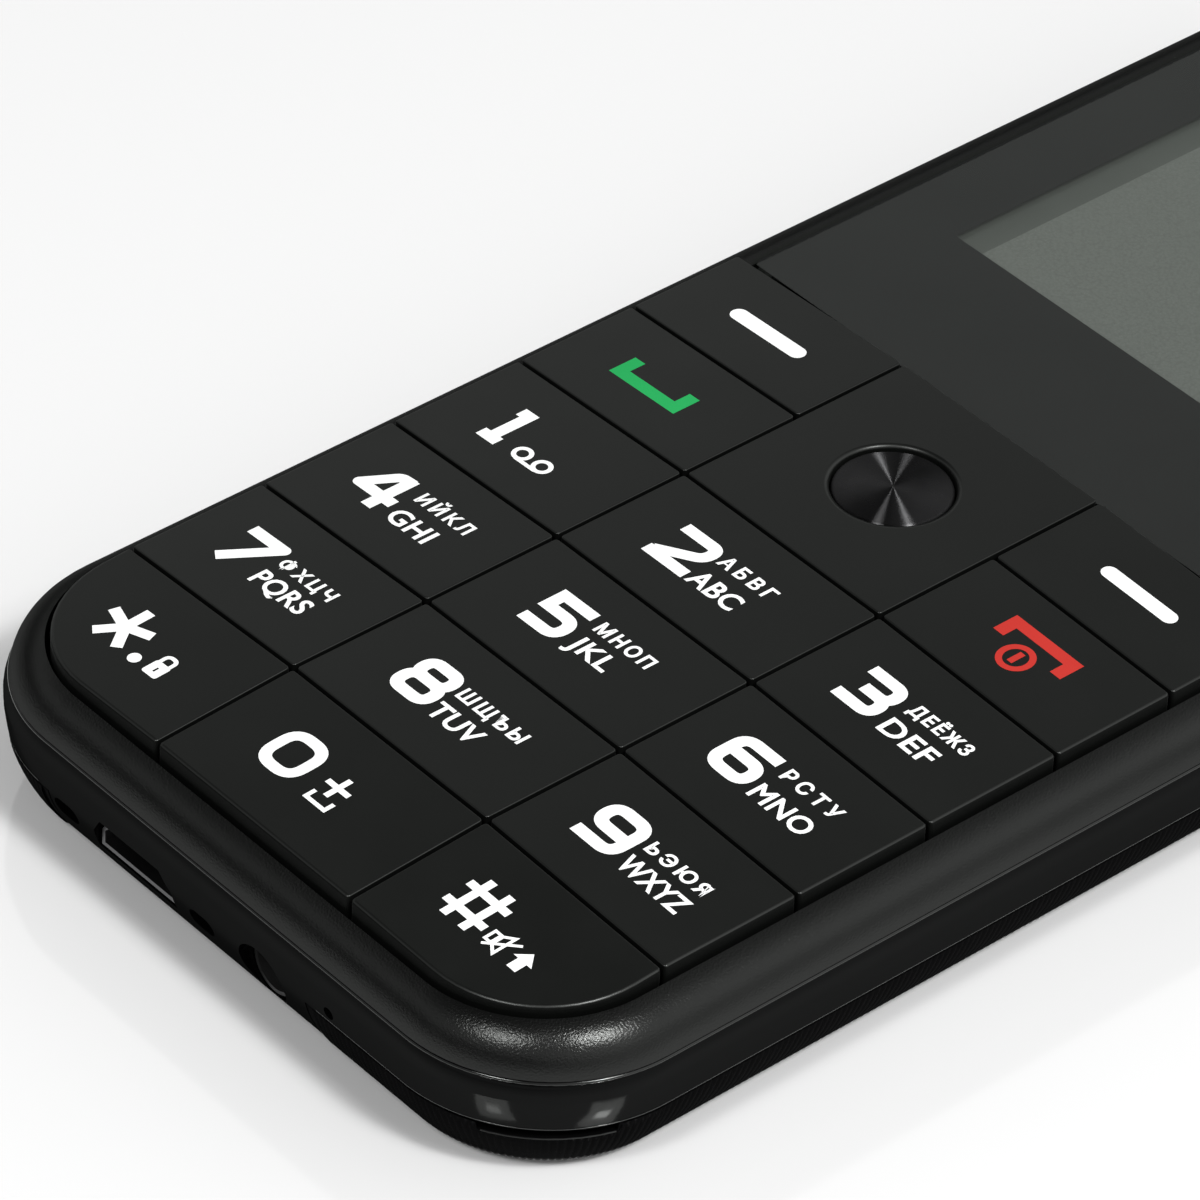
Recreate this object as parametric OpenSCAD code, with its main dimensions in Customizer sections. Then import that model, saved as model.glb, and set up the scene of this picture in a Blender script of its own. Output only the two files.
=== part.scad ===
// Bar-shaped feature phone with a large keypad: housing shells, keys, display and the parts inside.
// Millimetres. +Z points out of the display, +Y towards the earpiece, origin at the middle of the back face.

/* [Keypad] */
// width of the middle key column
mid_col_w = 19; // [18:0.1:20]
// width of each outer key column
outer_col_w = 16.74; // [16:0.02:18]
// height of each digit row
row_pitch = 10.97; // [10.5:0.01:11.5]
// height of the row with the call and end keys
call_row_h = 10; // [9.5:0.1:11]
// height of the soft key row
soft_row_h = 9.6; // [9:0.1:11]
// gap between neighbouring keys
key_gap = 0.34; // [0.3:0.02:0.5]
// gap between the keys and the bezel lip
rim_gap = 0.36; // [0.3:0.02:0.5]
// outer corner radius of the star and hash keys
key_corner_r = 8.8; // [8:0.1:9.2]
// radius of the other key corners
key_small_r = 0.5; // [0.3:0.1:0.8]
// radius that rounds the outer edge of the key field
key_edge_r = 0.6; // [0.3:0.05:0.8]
// radius of the crown across the key tops
crown_r = 450; // [380:10:480]
// slope of the bottom key row, in degrees
bottom_slope = 3.2; // [1:0.1:4]
// key height at the middle of the phone
key_t = 3.4; // [3.2:0.05:3.5]
// air under each key, a little more than its travel
key_lift = 0.4; // [0.35:0.01:0.5]
// width of the flange that holds an outer key under the bezel
flange_w = 0.45; // [0.35:0.05:0.5]
// thickness of that flange
flange_t = 0.5; // [0.4:0.05:0.6]
// radius of the hole in the navigation plate
nav_hole_r = 4.22; // [3.8:0.02:4.6]
// clearance round the OK key
ok_gap = 0.27; // [0.22:0.01:0.4]
// how far the OK key sits below the plate
ok_drop = 0.35; // [0.2:0.05:0.6]

/* [Display] */
// length of the display lens
lens_l = 68.4; // [66:0.1:72]
// thickness of the lens
lens_t = 1.1; // [0.9:0.05:1.3]
// how far the lens face lies below the crown of the keys
lens_drop = 0.65; // [0.5:0.05:0.8]
// how much narrower the lens is than the keypad, each side
lens_inset = 0.84; // [0.6:0.02:1.2]
// radius of the upper lens corners
lens_corner_r = 9; // [8.6:0.1:9.6]
// width of the bevel round the lens
lens_bevel_w = 0.85; // [0.6:0.05:1]
// depth of that bevel at the lens edge
lens_bevel_h = 0.3; // [0.2:0.05:0.4]
// width of the LCD module
lcd_w = 42.7; // [40:0.1:44]
// distance of the LCD module from the upper end of the lens
lcd_top = 4.2; // [4:0.1:5]
// distance of the LCD module from the keypad
lcd_low = 3.9; // [3.6:0.1:6]
// thickness of the LCD module
lcd_t = 2.3; // [2:0.05:2.4]

/* [Housing] */
// thickness of the phone at the crown of the keys
body_t = 13.1; // [12.9:0.1:13.6]
// width of the housing beside the keys
bezel_side = 3.36; // [3.2:0.02:3.8]
// width of the housing beyond the keys and the lens at both ends
bezel_end = 2.73; // [2.6:0.01:3.2]
// plan radius of the body corners
corner_r = 11.7; // [11.3:0.05:12.2]
// height of the line between bezel and side band
front_seam_z = 8.4; // [8.2:0.05:8.6]
// height of the line between side band and battery cover
cover_seam_z = 4.5; // [4.3:0.05:4.6]
// width of the parting lines
seam_gap = 0.08; // [0.06:0.01:0.14]
// height of the bezel lip below the crown of the keys
lip_drop = 1.65; // [1.5:0.05:1.8]
// section radius of the bezel
bezel_r = 3.45; // [3.2:0.05:4.5]
// section radius of the side band above its widest line
band_r = 3; // [2.6:0.1:4]
// section radius of the sides below that line
under_r = 10.5; // [9.5:0.1:14]
// height at which the side band is widest
band_z = 6.95; // [6.8:0.05:7.3]
// depth of the pry slot in the cover edge
pry_h = 0.75; // [0.6:0.05:0.9]
// edge radius of the back
back_edge_r = 1.3; // [1:0.1:2]
// wall thickness of the side band
band_t = 1.5; // [1.3:0.05:1.6]
// floor thickness of the battery cover
floor_t = 1; // [0.9:0.05:1.1]

/* [Ports] */
// middle of the micro-USB socket, across the phone
usb_x = -8.95; // [-9.1:0.05:-7]
// middle of the headphone jack, across the phone
jack_x = 3.9; // [3.8:0.1:6]
// height of the micro-USB axis
usb_z = 4.2; // [4:0.05:4.25]
// height of the headphone jack axis
jack_z = 3.65; // [3.6:0.05:3.8]
// bore radius of the headphone jack
jack_bore_r = 1.8; // [1.78:0.01:1.85]
// middle of the microphone hole, across the phone
mic_x = 10.9; // [10.6:0.1:13]
// distance of the oval recesses from the middle of the micro-USB socket
oval_pitch = 6.9; // [6.5:0.1:7.2]

/* [Inside] */
// room between the battery and the outside of the housing, each side
battery_side = 6.6; // [6.5:0.1:8]
// battery length
battery_l = 60; // [54:0.5:61]
// battery thickness
battery_t = 3.6; // [3.2:0.05:3.65]
// thickness of the main board
board_t = 0.9; // [0.8:0.05:1]
// shank radius of the case screws
screw_r = 0.75; // [0.7:0.01:0.85]
// distance of the camera from the top end
camera_from_top = 18.5; // [16:0.5:20]
// radius of the camera window
window_r = 5; // [4.6:0.1:5.4]

/* [Hidden] */
$fn = 96;

// key field and body outline
key_hw = mid_col_w / 2 + outer_col_w;
keys_l = 4 * row_pitch + call_row_h + soft_row_h;
body_hw = key_hw + bezel_side;
body_l = keys_l + lens_l + 2 * bezel_end;
y_bot = -body_l / 2;
y_top = body_l / 2;
r0 = y_bot + bezel_end;
r1 = r0 + row_pitch;
r2 = r0 + 2 * row_pitch;
r3 = r0 + 3 * row_pitch;
r4 = r0 + 4 * row_pitch;
r5 = r4 + call_row_h;
r6 = r5 + soft_row_h;
c1 = -mid_col_w / 2;
c2 = mid_col_w / 2;
core_x = body_hw - corner_r;
core_y = body_l / 2 - corner_r;
far = 200;

// heights, from the back to the front
battery_w = 2 * (body_hw - battery_side);
battery_z = floor_t + 0.15;
web_z0 = battery_z + battery_t + 0.1;
web_z1 = web_z0 + 0.6;
board_z0 = web_z1 + 0.15;
board_z1 = board_z0 + board_t;
cap_z0 = body_t - key_t;
mat_z1 = cap_z0 - key_lift;
mat_z0 = mat_z1 - 0.4;
under_z = board_z0 - 0.05;
lens_z0 = body_t - lens_drop - lens_t;
plate_z1 = lens_z0 - 0.05;
plate_z0 = plate_z1 - 0.9;
lip_under_z = cap_z0 + flange_t + 0.15;
flange_floor_z = cap_z0 - key_lift - 0.2;

// bezel section: an arc from the lip down to the parting line
band_in = band_r - sqrt(band_r * band_r - pow(front_seam_z - band_z, 2));
lip_point = [corner_r - bezel_side + rim_gap, body_t - lip_drop];
seam_point = [corner_r - band_in, front_seam_z];
chord = seam_point - lip_point;
arc_shift = sqrt(bezel_r * bezel_r - pow(norm(chord) / 2, 2));
arc_centre = (lip_point + seam_point) / 2 + arc_shift * [chord[1], -chord[0]] / norm(chord);

// middle of the back edge circle, a little outside the tangent place
edge_r = corner_r - under_r + sqrt(pow(under_r - back_edge_r, 2) - pow(band_z - back_edge_r, 2)) + 0.03;

// pry slot, as angles round the lower right corner
pry_from = 287;
pry_to = 343;

// inner walls, as distances from the corner axes
band_in_r = corner_r - band_t;
skirt_r1 = band_in_r - 0.15;
skirt_r0 = skirt_r1 - 0.55;

// port block
block_x0 = usb_x - oval_pitch - 1.6;
block_x1 = jack_x + 4.5;
block_y1 = y_bot + 8;
port_wall_y = y_bot + 2.9;
mouth_y = y_bot + 1.6;
usb_mouth_y = y_bot + 0.9;
jack_l = 14.4;
usb_back_y = y_bot + 6;

// inner parts
screw_x = body_hw - 4.85;
screw_ys = [y_bot + 10.5, (y_bot + y_top) / 2 + 2, y_top - 10.5];
battery_y0 = y_bot + 21.5;
battery_y1 = battery_y0 + battery_l;
lens_hw = key_hw - lens_inset;
lens_y0 = r6 + 0.12;
lens_y1 = r6 + lens_l - 0.6;
slot_y = lens_y1 - 1.95;
lcd_y0 = r6 + lcd_low;
lcd_y1 = lens_y1 - lcd_top;
lcd_z0 = lens_z0 - 0.05 - lcd_t;
lens_x = lens_hw - lens_corner_r;
lens_y = lens_y1 - lens_corner_r;
camera_y = y_top - camera_from_top;
led_x = 8.5;
speaker_at = [-12, battery_y1 + 10];
speaker_size = [15, 11];
motor_at = [14, battery_y1 + 22.5];
motor_r = 4;
sim_at = [12, battery_y1 + 10.5];
sim_size = [17, 13];
card_at = [-13.5, camera_y - 3];
card_size = [14, 14];
camera_w = 8.4;
contact_l = 2;
can_hw = lcd_w / 2 - 1.35;
can_mid = (lcd_y0 + lcd_y1) / 2 + 1;
rocker_z = cap_z0 - 0.05;
edge_x = key_hw - key_edge_r;
edge_z = body_t - crown_r + sqrt(pow(crown_r - key_edge_r, 2) - edge_x * edge_x);
col_x = [[-key_hw, c1 - key_gap / 2], [c1 + key_gap / 2, c2 - key_gap / 2], [c2 + key_gap / 2, key_hw]];
row_y = [[r0, r1 - key_gap / 2], [r1 + key_gap / 2, r2 - key_gap / 2], [r2 + key_gap / 2, r3 - key_gap / 2],
    [r3 + key_gap / 2, r4 - key_gap / 2], [r4 + key_gap / 2, r5 - key_gap / 2],
    [r5 + key_gap / 2, r6 - key_gap / 2]];
ok_y = r5 - 0.12;
press_points = concat([for (c = col_x, r = [0:3]) [(c[0] + c[1]) / 2, (row_y[r][0] + row_y[r][1]) / 2]],
    [for (c = [0, 2], r = [4, 5]) [(col_x[c][0] + col_x[c][1]) / 2, (row_y[r][0] + row_y[r][1]) / 2]],
    [[0, ok_y]], [for (a = [45:90:315]) [6.6 * cos(a), ok_y + 6.6 * sin(a)]]);

black_matte = [0.05, 0.05, 0.055];
black_gloss = [0.02, 0.02, 0.022];
key_black = [0.08, 0.08, 0.085];
steel = [0.72, 0.72, 0.74];
board_green = [0.05, 0.3, 0.2];

// rectangle with its own radius at each corner, in the order lower left, lower right, upper right, upper left
module round_rect(x0, y0, x1, y1, r) {
    polygon([[x0 + r[0], y0], [x1 - r[1], y0], [x1, y0 + r[1]], [x1, y1 - r[2]],
        [x1 - r[2], y1], [x0 + r[3], y1], [x0, y1 - r[3]], [x0, y0 + r[0]]]);
    corner_disc(x0 + r[0], y0 + r[0], -1, -1, r[0]);
    corner_disc(x1 - r[1], y0 + r[1], 1, -1, r[1]);
    corner_disc(x1 - r[2], y1 - r[2], 1, 1, r[2]);
    corner_disc(x0 + r[3], y1 - r[3], -1, 1, r[3]);
}

// quarter of a disc, towards the given signs
module corner_disc(x, y, sx, sy, r) {
    translate([x, y]) intersection() {
        circle(r);
        translate([sx < 0 ? -r - 1 : 0, sy < 0 ? -r - 1 : 0]) square(r + 1);
    }
}

// the same with one radius, round the origin
module centred_rect(size, r) {
    round_rect(-size[0] / 2, -size[1] / 2, size[0] / 2, size[1] / 2, r * [1, 1, 1, 1]);
}

// slot with round ends, along x
module slot(l, w) {
    square([l - w, w], center = true);
    for (s = [-1, 1]) translate([s * (l - w) / 2, 0]) circle(w / 2);
}

// slab of a flat shape between two heights
module slab(z0, z1) {
    translate([0, 0, z0]) linear_extrude(z1 - z0) children();
}

// box between two corners
module block(a, b) {
    translate(a) cube(b - a);
}

// sweeps a section round the body outline; the section is drawn as distance from the corner axis and height
module sweep() {
    for (a = [0, 180]) rotate(a) {
        translate([core_x, core_y, 0]) rotate([90, 0, 0]) linear_extrude(2 * core_y) children();
        rotate(90) translate([core_y, core_x, 0]) rotate([90, 0, 0]) linear_extrude(2 * core_x) children();
        translate([core_x, core_y, 0]) rotate_extrude(angle = 90) children();
        translate([-core_x, core_y, 0]) rotate(90) rotate_extrude(angle = 90) children();
    }
}

// outer section of side band and battery cover: full above, drawn in below, with a small edge at the back
module side_section() {
    intersection() {
        translate([corner_r - band_r, band_z]) circle(band_r);
        translate([corner_r - band_r, band_z]) square([band_r, front_seam_z - band_z]);
    }
    translate([0, band_z]) square([corner_r - band_r, front_seam_z - band_z]);
    intersection() {
        translate([corner_r - under_r, band_z]) circle(under_r);
        square([far, band_z]);
        union() {
            translate([0, back_edge_r]) square([far, far]);
            translate([edge_r, back_edge_r]) circle(back_edge_r);
            square([edge_r, back_edge_r]);
        }
    }
}

// key field, grown by g at the bezel
module key_field(g) {
    round_rect(-key_hw - g, r0 - g, key_hw + g, r6, [key_corner_r + g, key_corner_r + g, 0.2, 0.2]);
}

// section across the key field: a gentle crown with rounded outer edges
module crown_section() {
    intersection() {
        translate([0, body_t - crown_r]) circle(crown_r, $fn = 720);
        translate([-edge_x, 0]) square([2 * edge_x, body_t + 1]);
    }
    translate([-key_hw, 0]) square([2 * key_hw, edge_z]);
    for (s = [-1, 1]) translate([s * edge_x, edge_z]) circle(key_edge_r);
}

// solid of that section, which trims the key tops
module crown() {
    rotate([90, 0, 0]) linear_extrude(2 * far, center = true) crown_section();
}

// the same crown, sloping down below the lowest digit row
module sloped_crown() {
    translate([0, r1, body_t]) rotate([bottom_slope, 0, 0]) translate([0, -r1, -body_t]) crown();
}

module key_outline(c, r, g) {
    s = key_small_r;
    big = key_corner_r + g;
    left = c == 0 ? g : 0;
    right = c == 2 ? g : 0;
    low = r == 0 ? g : 0;
    corners = [r == 0 && c == 0 ? big : s, r == 0 && c == 2 ? big : s, s, s];
    round_rect(col_x[c][0] - left, row_y[r][0] - low, col_x[c][1] + right, row_y[r][1], corners);
}

// key cap in column c and row r, with its flange under the bezel
module key_cap(c, r) {
    intersection() {
        slab(cap_z0, body_t + 1) key_outline(c, r, 0);
        if (r == 0) sloped_crown(); else crown();
    }
    if (c != 1 || r == 0) slab(cap_z0, cap_z0 + flange_t) key_outline(c, r, flange_w);
}

module at_screws() {
    for (x = [-screw_x, screw_x], y = screw_ys) translate([x, y, 0]) children();
}

module front_housing() {
    color(black_matte) {
        difference() {
            union() {
                sweep() intersection() {
                    union() {
                        translate(arc_centre) circle(bezel_r);
                        translate([arc_centre[0] - 1.2, 0]) square([1.2, arc_centre[1] + bezel_r]);
                    }
                    translate([arc_centre[0] - 1.2, front_seam_z + seam_gap / 2]) square([far, far]);
                }
                slab(plate_z0, plate_z1) round_rect(-key_hw, r6, key_hw, lens_y1,
                    [0.3, 0.3, lens_corner_r + 0.5, lens_corner_r + 0.5]);
                sweep() translate([skirt_r0, board_z1 + 0.2])
                    square([skirt_r1 - skirt_r0, front_seam_z + 0.5 - board_z1]);
            }
            slab(0, flange_floor_z) round_rect(-core_x - skirt_r0, -core_y - skirt_r0, core_x + skirt_r0,
                core_y + skirt_r0, skirt_r0 * [1, 1, 1, 1]);
            slab(flange_floor_z - 1, lip_under_z) key_field(flange_w + 0.25);
            slab(lip_under_z - 1, far) key_field(rim_gap);
            slab(0, plate_z0) round_rect(-key_hw + 0.4, r6 + 1.2, key_hw - 0.4, lens_y1 - 0.2,
                [0.5, 0.5, lens_corner_r - 0.5, lens_corner_r - 0.5]);
            slab(plate_z1, far) round_rect(-lens_hw - 0.1, r6 - 0.5, lens_hw + 0.1, lens_y1 + 0.1,
                [0.3, 0.3, lens_corner_r, lens_corner_r]);
            block([-lcd_w / 2 - 0.2, lcd_y0 - 0.2, 0], [lcd_w / 2 + 0.2, lcd_y1 + 0.2, far]);
            slab(0, far) translate([0, slot_y]) slot(10, 1.2);
        }
        difference() {
            for (s = [-1, 1], y = screw_ys) slab(board_z1 + 0.05, flange_floor_z - 0.4) {
                translate([s * screw_x, y]) circle(2);
                translate([s * (screw_x + 1.5), y]) square([3, 1.6], center = true);
            }
            at_screws() slab(0, far) circle(screw_r + 0.05);
        }
    }
}

// narrow-topped outline of a micro-USB socket, grown by g
module usb_outline(g) {
    h = 1.25 + g;
    wide = 3.75 + g;
    narrow = 2.8 + g;
    polygon([[-wide, -h], [wide, -h], [wide, 0], [narrow, h], [-narrow, h], [-wide, 0]]);
}

// flat shape on the bottom end, carried from y0 to y1
module end_slab(x, z, y0, y1) {
    translate([x, y1, z]) rotate([90, 0, 0]) linear_extrude(y1 - y0) children();
}

// places of the parts that hang below the board, as low and high corners
windows = [
    [speaker_at - speaker_size / 2, speaker_at + speaker_size / 2],
    [motor_at - motor_r * [1, 1], motor_at + motor_r * [1, 1]],
    [sim_at - sim_size / 2, sim_at + sim_size / 2],
    [card_at - card_size / 2, card_at + card_size / 2],
    [[-camera_w / 2, camera_y - camera_w / 2], [camera_w / 2, camera_y + camera_w / 2]],
    [[led_x - 1.6, camera_y - 1.6], [led_x + 1.6, camera_y + 1.6]],
    [[-4.5, battery_y1 + 0.15], [4.5, battery_y1 + 0.15 + contact_l]],
    [[mic_x - 2, y_bot + 1.9], [mic_x + 2, y_bot + 4.7]],
    [[jack_x - 3.1, block_y1 - 1], [jack_x + 3.1, mouth_y + jack_l]]];

module side_frame() {
    color(black_gloss) difference() {
        union() {
            sweep() intersection() {
                side_section();
                translate([band_in_r, cover_seam_z + seam_gap / 2])
                    square([band_t, front_seam_z - cover_seam_z - seam_gap]);
            }
            slab(web_z0, web_z1) round_rect(-core_x - band_in_r - 0.2, -core_y - band_in_r - 0.2,
                core_x + band_in_r + 0.2, core_y + band_in_r + 0.2, (band_in_r + 0.2) * [1, 1, 1, 1]);
            translate([block_x0, 0, 0]) rotate([90, 0, 90]) linear_extrude(block_x1 - block_x0)
                intersection() {
                    translate([-core_y, 0]) mirror([1, 0]) side_section();
                    translate([y_bot, 0]) square([block_y1 - y_bot, web_z1]);
                }
            block([-20, battery_y0 - 1.4, battery_z + 0.8], [20, battery_y0 - 0.3, web_z0 + 0.1]);
            at_screws() slab(web_z1 - 0.1, board_z0 - 0.05) circle(2);
        }
        block([block_x0 + 1.1, port_wall_y, floor_t + 0.3], [block_x1 - 1.1, block_y1 - 1.1, far]);
        block([jack_x - 3.2, block_y1 - 2, jack_z - 2.1], [jack_x + 3.2, block_y1 + 1, far]);
        end_slab(usb_x, usb_z, y_bot - 1, port_wall_y + 1) usb_outline(0.2);
        for (s = [-1, 1])
            end_slab(usb_x + s * oval_pitch, jack_z + 0.1, y_bot - 1, y_bot + 1.3) slot(2.4, 1.5);
        end_slab(jack_x, jack_z, y_bot - 1, port_wall_y + 1) circle(jack_bore_r + 0.38);
        end_slab(mic_x, cover_seam_z + 0.9, y_bot - 1, y_bot + 3) circle(0.45);
        for (w = windows)
            block([w[0][0] - 0.3, w[0][1] - 0.3, web_z0 - 0.5],
                [w[1][0] + 0.3, w[1][1] + 0.3, web_z1 + 0.5]);
        at_screws() slab(0, far) circle(screw_r + 0.2);
    }
}

module battery_cover() {
    color(black_matte) difference() {
        union() {
            difference() {
                union() {
                    sweep() intersection() {
                        side_section();
                        square([corner_r, cover_seam_z - seam_gap / 2]);
                    }
                    block([-core_x, -core_y, 0], [core_x, core_y, cover_seam_z - seam_gap / 2]);
                }
                slab(floor_t, far) round_rect(-body_hw + 3.1, y_bot + 3.3, body_hw - 3.1, y_top - 3.3,
                    (corner_r - 3.2) * [1, 1, 1, 1]);
            }
            for (x = [-1, 1], y = body_l * [-0.31, -0.1, 0.12, 0.31])
                translate([x * (body_hw - 2.4), y, (floor_t + web_z0 - 0.12) / 2])
                    cube([0.55, 7, web_z0 - floor_t - 0.12], center = true);
            translate([0, camera_y]) slab(floor_t - 0.1, floor_t + 0.9) circle(window_r - 0.5);
            translate(speaker_at) slab(floor_t - 0.1, floor_t + 1) difference() {
                centred_rect(speaker_size + [2.2, 2.2], 2.9);
                centred_rect(speaker_size + [0.7, 0.7], 2.3);
            }
        }
        block([block_x0 - 0.15, y_bot - 1, -1], [block_x1 + 0.15, block_y1 + 0.15, far]);
        translate([0, camera_y, 0]) {
            slab(-1, 0.55) circle(window_r + 0.08);
            slab(-1, far) circle(window_r - 1.4);
        }
        translate([led_x, camera_y, 0]) slab(-1, far) circle(1.9);
        translate([core_x, -core_y, 0]) rotate(pry_from) rotate_extrude(angle = pry_to - pry_from)
            translate([corner_r - 1.2, cover_seam_z - pry_h]) square([2, 2 * pry_h]);
        for (k = [-2:2])
            translate([speaker_at[0], speaker_at[1] + 1.8 * k, 0]) slab(-1, floor_t + 1) slot(11, 0.8);
    }
}

// wedge cut off the upper lens edge, drawn as distance from the corner axis and height
module bevel_wedge() {
    a = lens_corner_r - lens_bevel_w;
    z = lens_z0 + lens_t;
    b = a + 2 * lens_bevel_w;
    polygon([[a, z], [b, z - 2 * lens_bevel_h], [b, z + 1], [a, z + 1]]);
}

module display_lens() {
    color([0.12, 0.12, 0.13]) difference() {
        slab(lens_z0, lens_z0 + lens_t) difference() {
            round_rect(-lens_hw, lens_y0, lens_hw, lens_y1, [0.8, 0.8, lens_corner_r, lens_corner_r]);
            translate([0, slot_y]) slot(10, 1.2);
        }
        for (s = [0, 1]) mirror([s, 0, 0]) translate([lens_x, lens_y, 0]) {
            rotate([90, 0, 0]) linear_extrude(lens_l) bevel_wedge();
            rotate_extrude(angle = 90) bevel_wedge();
        }
        rotate(90) translate([lens_y, lens_x, 0]) rotate([90, 0, 0]) linear_extrude(2 * lens_x) bevel_wedge();
    }
}

module soft_key_left() {
    color(key_black) key_cap(0, 5);
}

module soft_key_right() {
    color(key_black) key_cap(2, 5);
}

module call_key() {
    color(key_black) key_cap(0, 4);
}

module end_key() {
    color(key_black) key_cap(2, 4);
}

module nav_plate() {
    color(key_black) difference() {
        intersection() {
            slab(cap_z0 + 0.35, body_t + 1)
                round_rect(col_x[1][0], row_y[4][0], col_x[1][1], row_y[5][1], key_small_r * [1, 1, 1, 1]);
            crown();
        }
        translate([0, ok_y, 0]) {
            slab(0, far) circle(nav_hole_r);
            translate([0, 0, body_t - 0.45]) cylinder(r1 = nav_hole_r, r2 = nav_hole_r + 0.6, h = 0.6);
        }
    }
}

module ok_key() {
    ok_z = body_t - ok_drop;
    color(steel) translate([0, ok_y, 0]) difference() {
        union() {
            slab(cap_z0, ok_z - 0.2) circle(nav_hole_r - ok_gap);
            translate([0, 0, ok_z - 0.2])
                cylinder(r1 = nav_hole_r - ok_gap, r2 = nav_hole_r - ok_gap - 0.2, h = 0.2);
        }
        translate([0, 0, ok_z + 39.85]) sphere(40, $fn = 360);
    }
}

// rocker ring that lets the navigation plate tilt both ways
module nav_ring() {
    color([0.2, 0.2, 0.2]) translate([0, ok_y, 0]) {
        slab(cap_z0 - 0.15, cap_z0 + 0.05) difference() {
            circle(8);
            circle(nav_hole_r + 0.6);
        }
        for (s = [-1, 1]) {
            translate([0, 6.4 * s, rocker_z]) intersection() {
                rotate([90, 0, 0]) cylinder(r = 0.4, h = 2.4, center = true);
                block([-1, -2, 0], [1, 2, 1]);
            }
            translate([6.4 * s, 0, rocker_z]) intersection() {
                rotate([0, 90, 0]) cylinder(r = key_lift - 0.1, h = 2.4, center = true);
                block([-2, -1, -1], [2, 1, 0]);
            }
        }
    }
}

module key_1() {
    color(key_black) key_cap(0, 3);
}

module key_2() {
    color(key_black) key_cap(1, 3);
}

module key_3() {
    color(key_black) key_cap(2, 3);
}

module key_4() {
    color(key_black) key_cap(0, 2);
}

module key_5() {
    color(key_black) key_cap(1, 2);
}

module key_6() {
    color(key_black) key_cap(2, 2);
}

module key_7() {
    color(key_black) key_cap(0, 1);
}

module key_8() {
    color(key_black) key_cap(1, 1);
}

module key_9() {
    color(key_black) key_cap(2, 1);
}

module key_star() {
    color(key_black) key_cap(0, 0);
}

module key_0() {
    color(key_black) key_cap(1, 0);
}

module key_hash() {
    color(key_black) key_cap(2, 0);
}

// silicone sheet with a plunger under every pressing point
module keypad_mat() {
    color([0.75, 0.75, 0.72]) {
        slab(mat_z0, mat_z1) round_rect(-screw_x + 2.4, r0 + 2, screw_x - 2.4, r6 - 1, [4, 4, 1, 1]);
        for (p = press_points) translate(p) slab(board_z1 + 0.5, mat_z0 + 0.1) circle(1.5);
    }
}

// metal domes under the plungers, on a carrier sheet
module dome_sheet() {
    color(steel) {
        slab(board_z1 + 0.02, board_z1 + 0.12)
            round_rect(-screw_x + 2.4, r0 + 2, screw_x - 2.4, r6 - 1, [4, 4, 1, 1]);
        for (p = press_points)
            translate([p[0], p[1], board_z1 + 0.07]) cylinder(r1 = 1.9, r2 = 1.1, h = 0.28);
    }
}

module main_board() {
    color(board_green) slab(board_z0, board_z1) difference() {
        round_rect(-body_hw + 2.4, y_bot + 2.3, body_hw - 2.4, y_top - 2.3, (corner_r - 2.3) * [1, 1, 1, 1]);
        translate([jack_x - 3.3, y_bot]) square([6.6, mouth_y + jack_l + 0.2 - y_bot]);
        at_screws() circle(screw_r + 0.25);
        for (s = [-1, 1], y = body_l * [-0.2, 0.22]) translate([s * (body_hw - 2.2), y]) circle(1.4);
    }
}

// two drawn steel cans with a row of vent holes each
module shield_cans() {
    color(steel) for (y = [[lcd_y0 + 6, can_mid - 1], [can_mid + 1, lcd_y1 - 4]]) difference() {
        slab(board_z1 + 0.02, lcd_z0 - 0.15) round_rect(-can_hw, y[0], can_hw, y[1], 0.8 * [1, 1, 1, 1]);
        block([-can_hw + 0.3, y[0] + 0.3, board_z1 - 1], [can_hw - 0.3, y[1] - 0.3, lcd_z0 - 0.45]);
        for (x = [-12:6:12]) translate([x, y[0] + 3]) slab(lcd_z0 - 1, lcd_z0) circle(0.7, $fn = 32);
    }
}

// backlight tray with the two display glasses; the lower one stands out at the end with the driver
module lcd_module() {
    top_z = lcd_z0 + lcd_t;
    color([0.55, 0.56, 0.58]) {
        slab(lcd_z0, top_z - 0.9)
            round_rect(-lcd_w / 2, lcd_y0, lcd_w / 2, lcd_y1, 0.8 * [1, 1, 1, 1]);
        block([-lcd_w / 2 + 0.5, lcd_y0 + 0.5, top_z - 1], [lcd_w / 2 - 0.5, lcd_y1 - 0.5, top_z - 0.45]);
        block([-lcd_w / 2 + 0.5, lcd_y0 + 3.6, top_z - 0.5], [lcd_w / 2 - 0.5, lcd_y1 - 0.5, top_z]);
    }
}

module earpiece() {
    color([0.2, 0.2, 0.2]) translate([0, (lcd_y1 + lens_y1 - 0.05) / 2]) difference() {
        slab(board_z1 + 0.05, plate_z0 - 0.05) slot(12, lens_y1 - lcd_y1 - 0.75);
        slab(plate_z0 - 0.45, plate_z0) slot(9, 1.6);
    }
}

// speaker capsule, with its membrane in a recess that faces the slots of the cover
module loudspeaker() {
    color([0.2, 0.2, 0.2]) translate(speaker_at) {
        difference() {
            slab(floor_t + 0.2, under_z) centred_rect(speaker_size, 2);
            slab(floor_t, floor_t + 0.8) centred_rect(speaker_size - [2, 2], 1.5);
        }
        slab(floor_t + 0.45, floor_t + 0.9) slot(9, 5);
    }
}

// flat coin motor
module vibration_motor() {
    color(steel) translate(motor_at) difference() {
        union() {
            slab(under_z - 2.4, under_z) circle(motor_r);
            translate([0, 0, under_z - 2.7]) cylinder(r1 = motor_r - 0.35, r2 = motor_r, h = 0.3);
        }
        slab(under_z - 3, under_z - 2.55) circle(1.1);
    }
}

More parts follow.
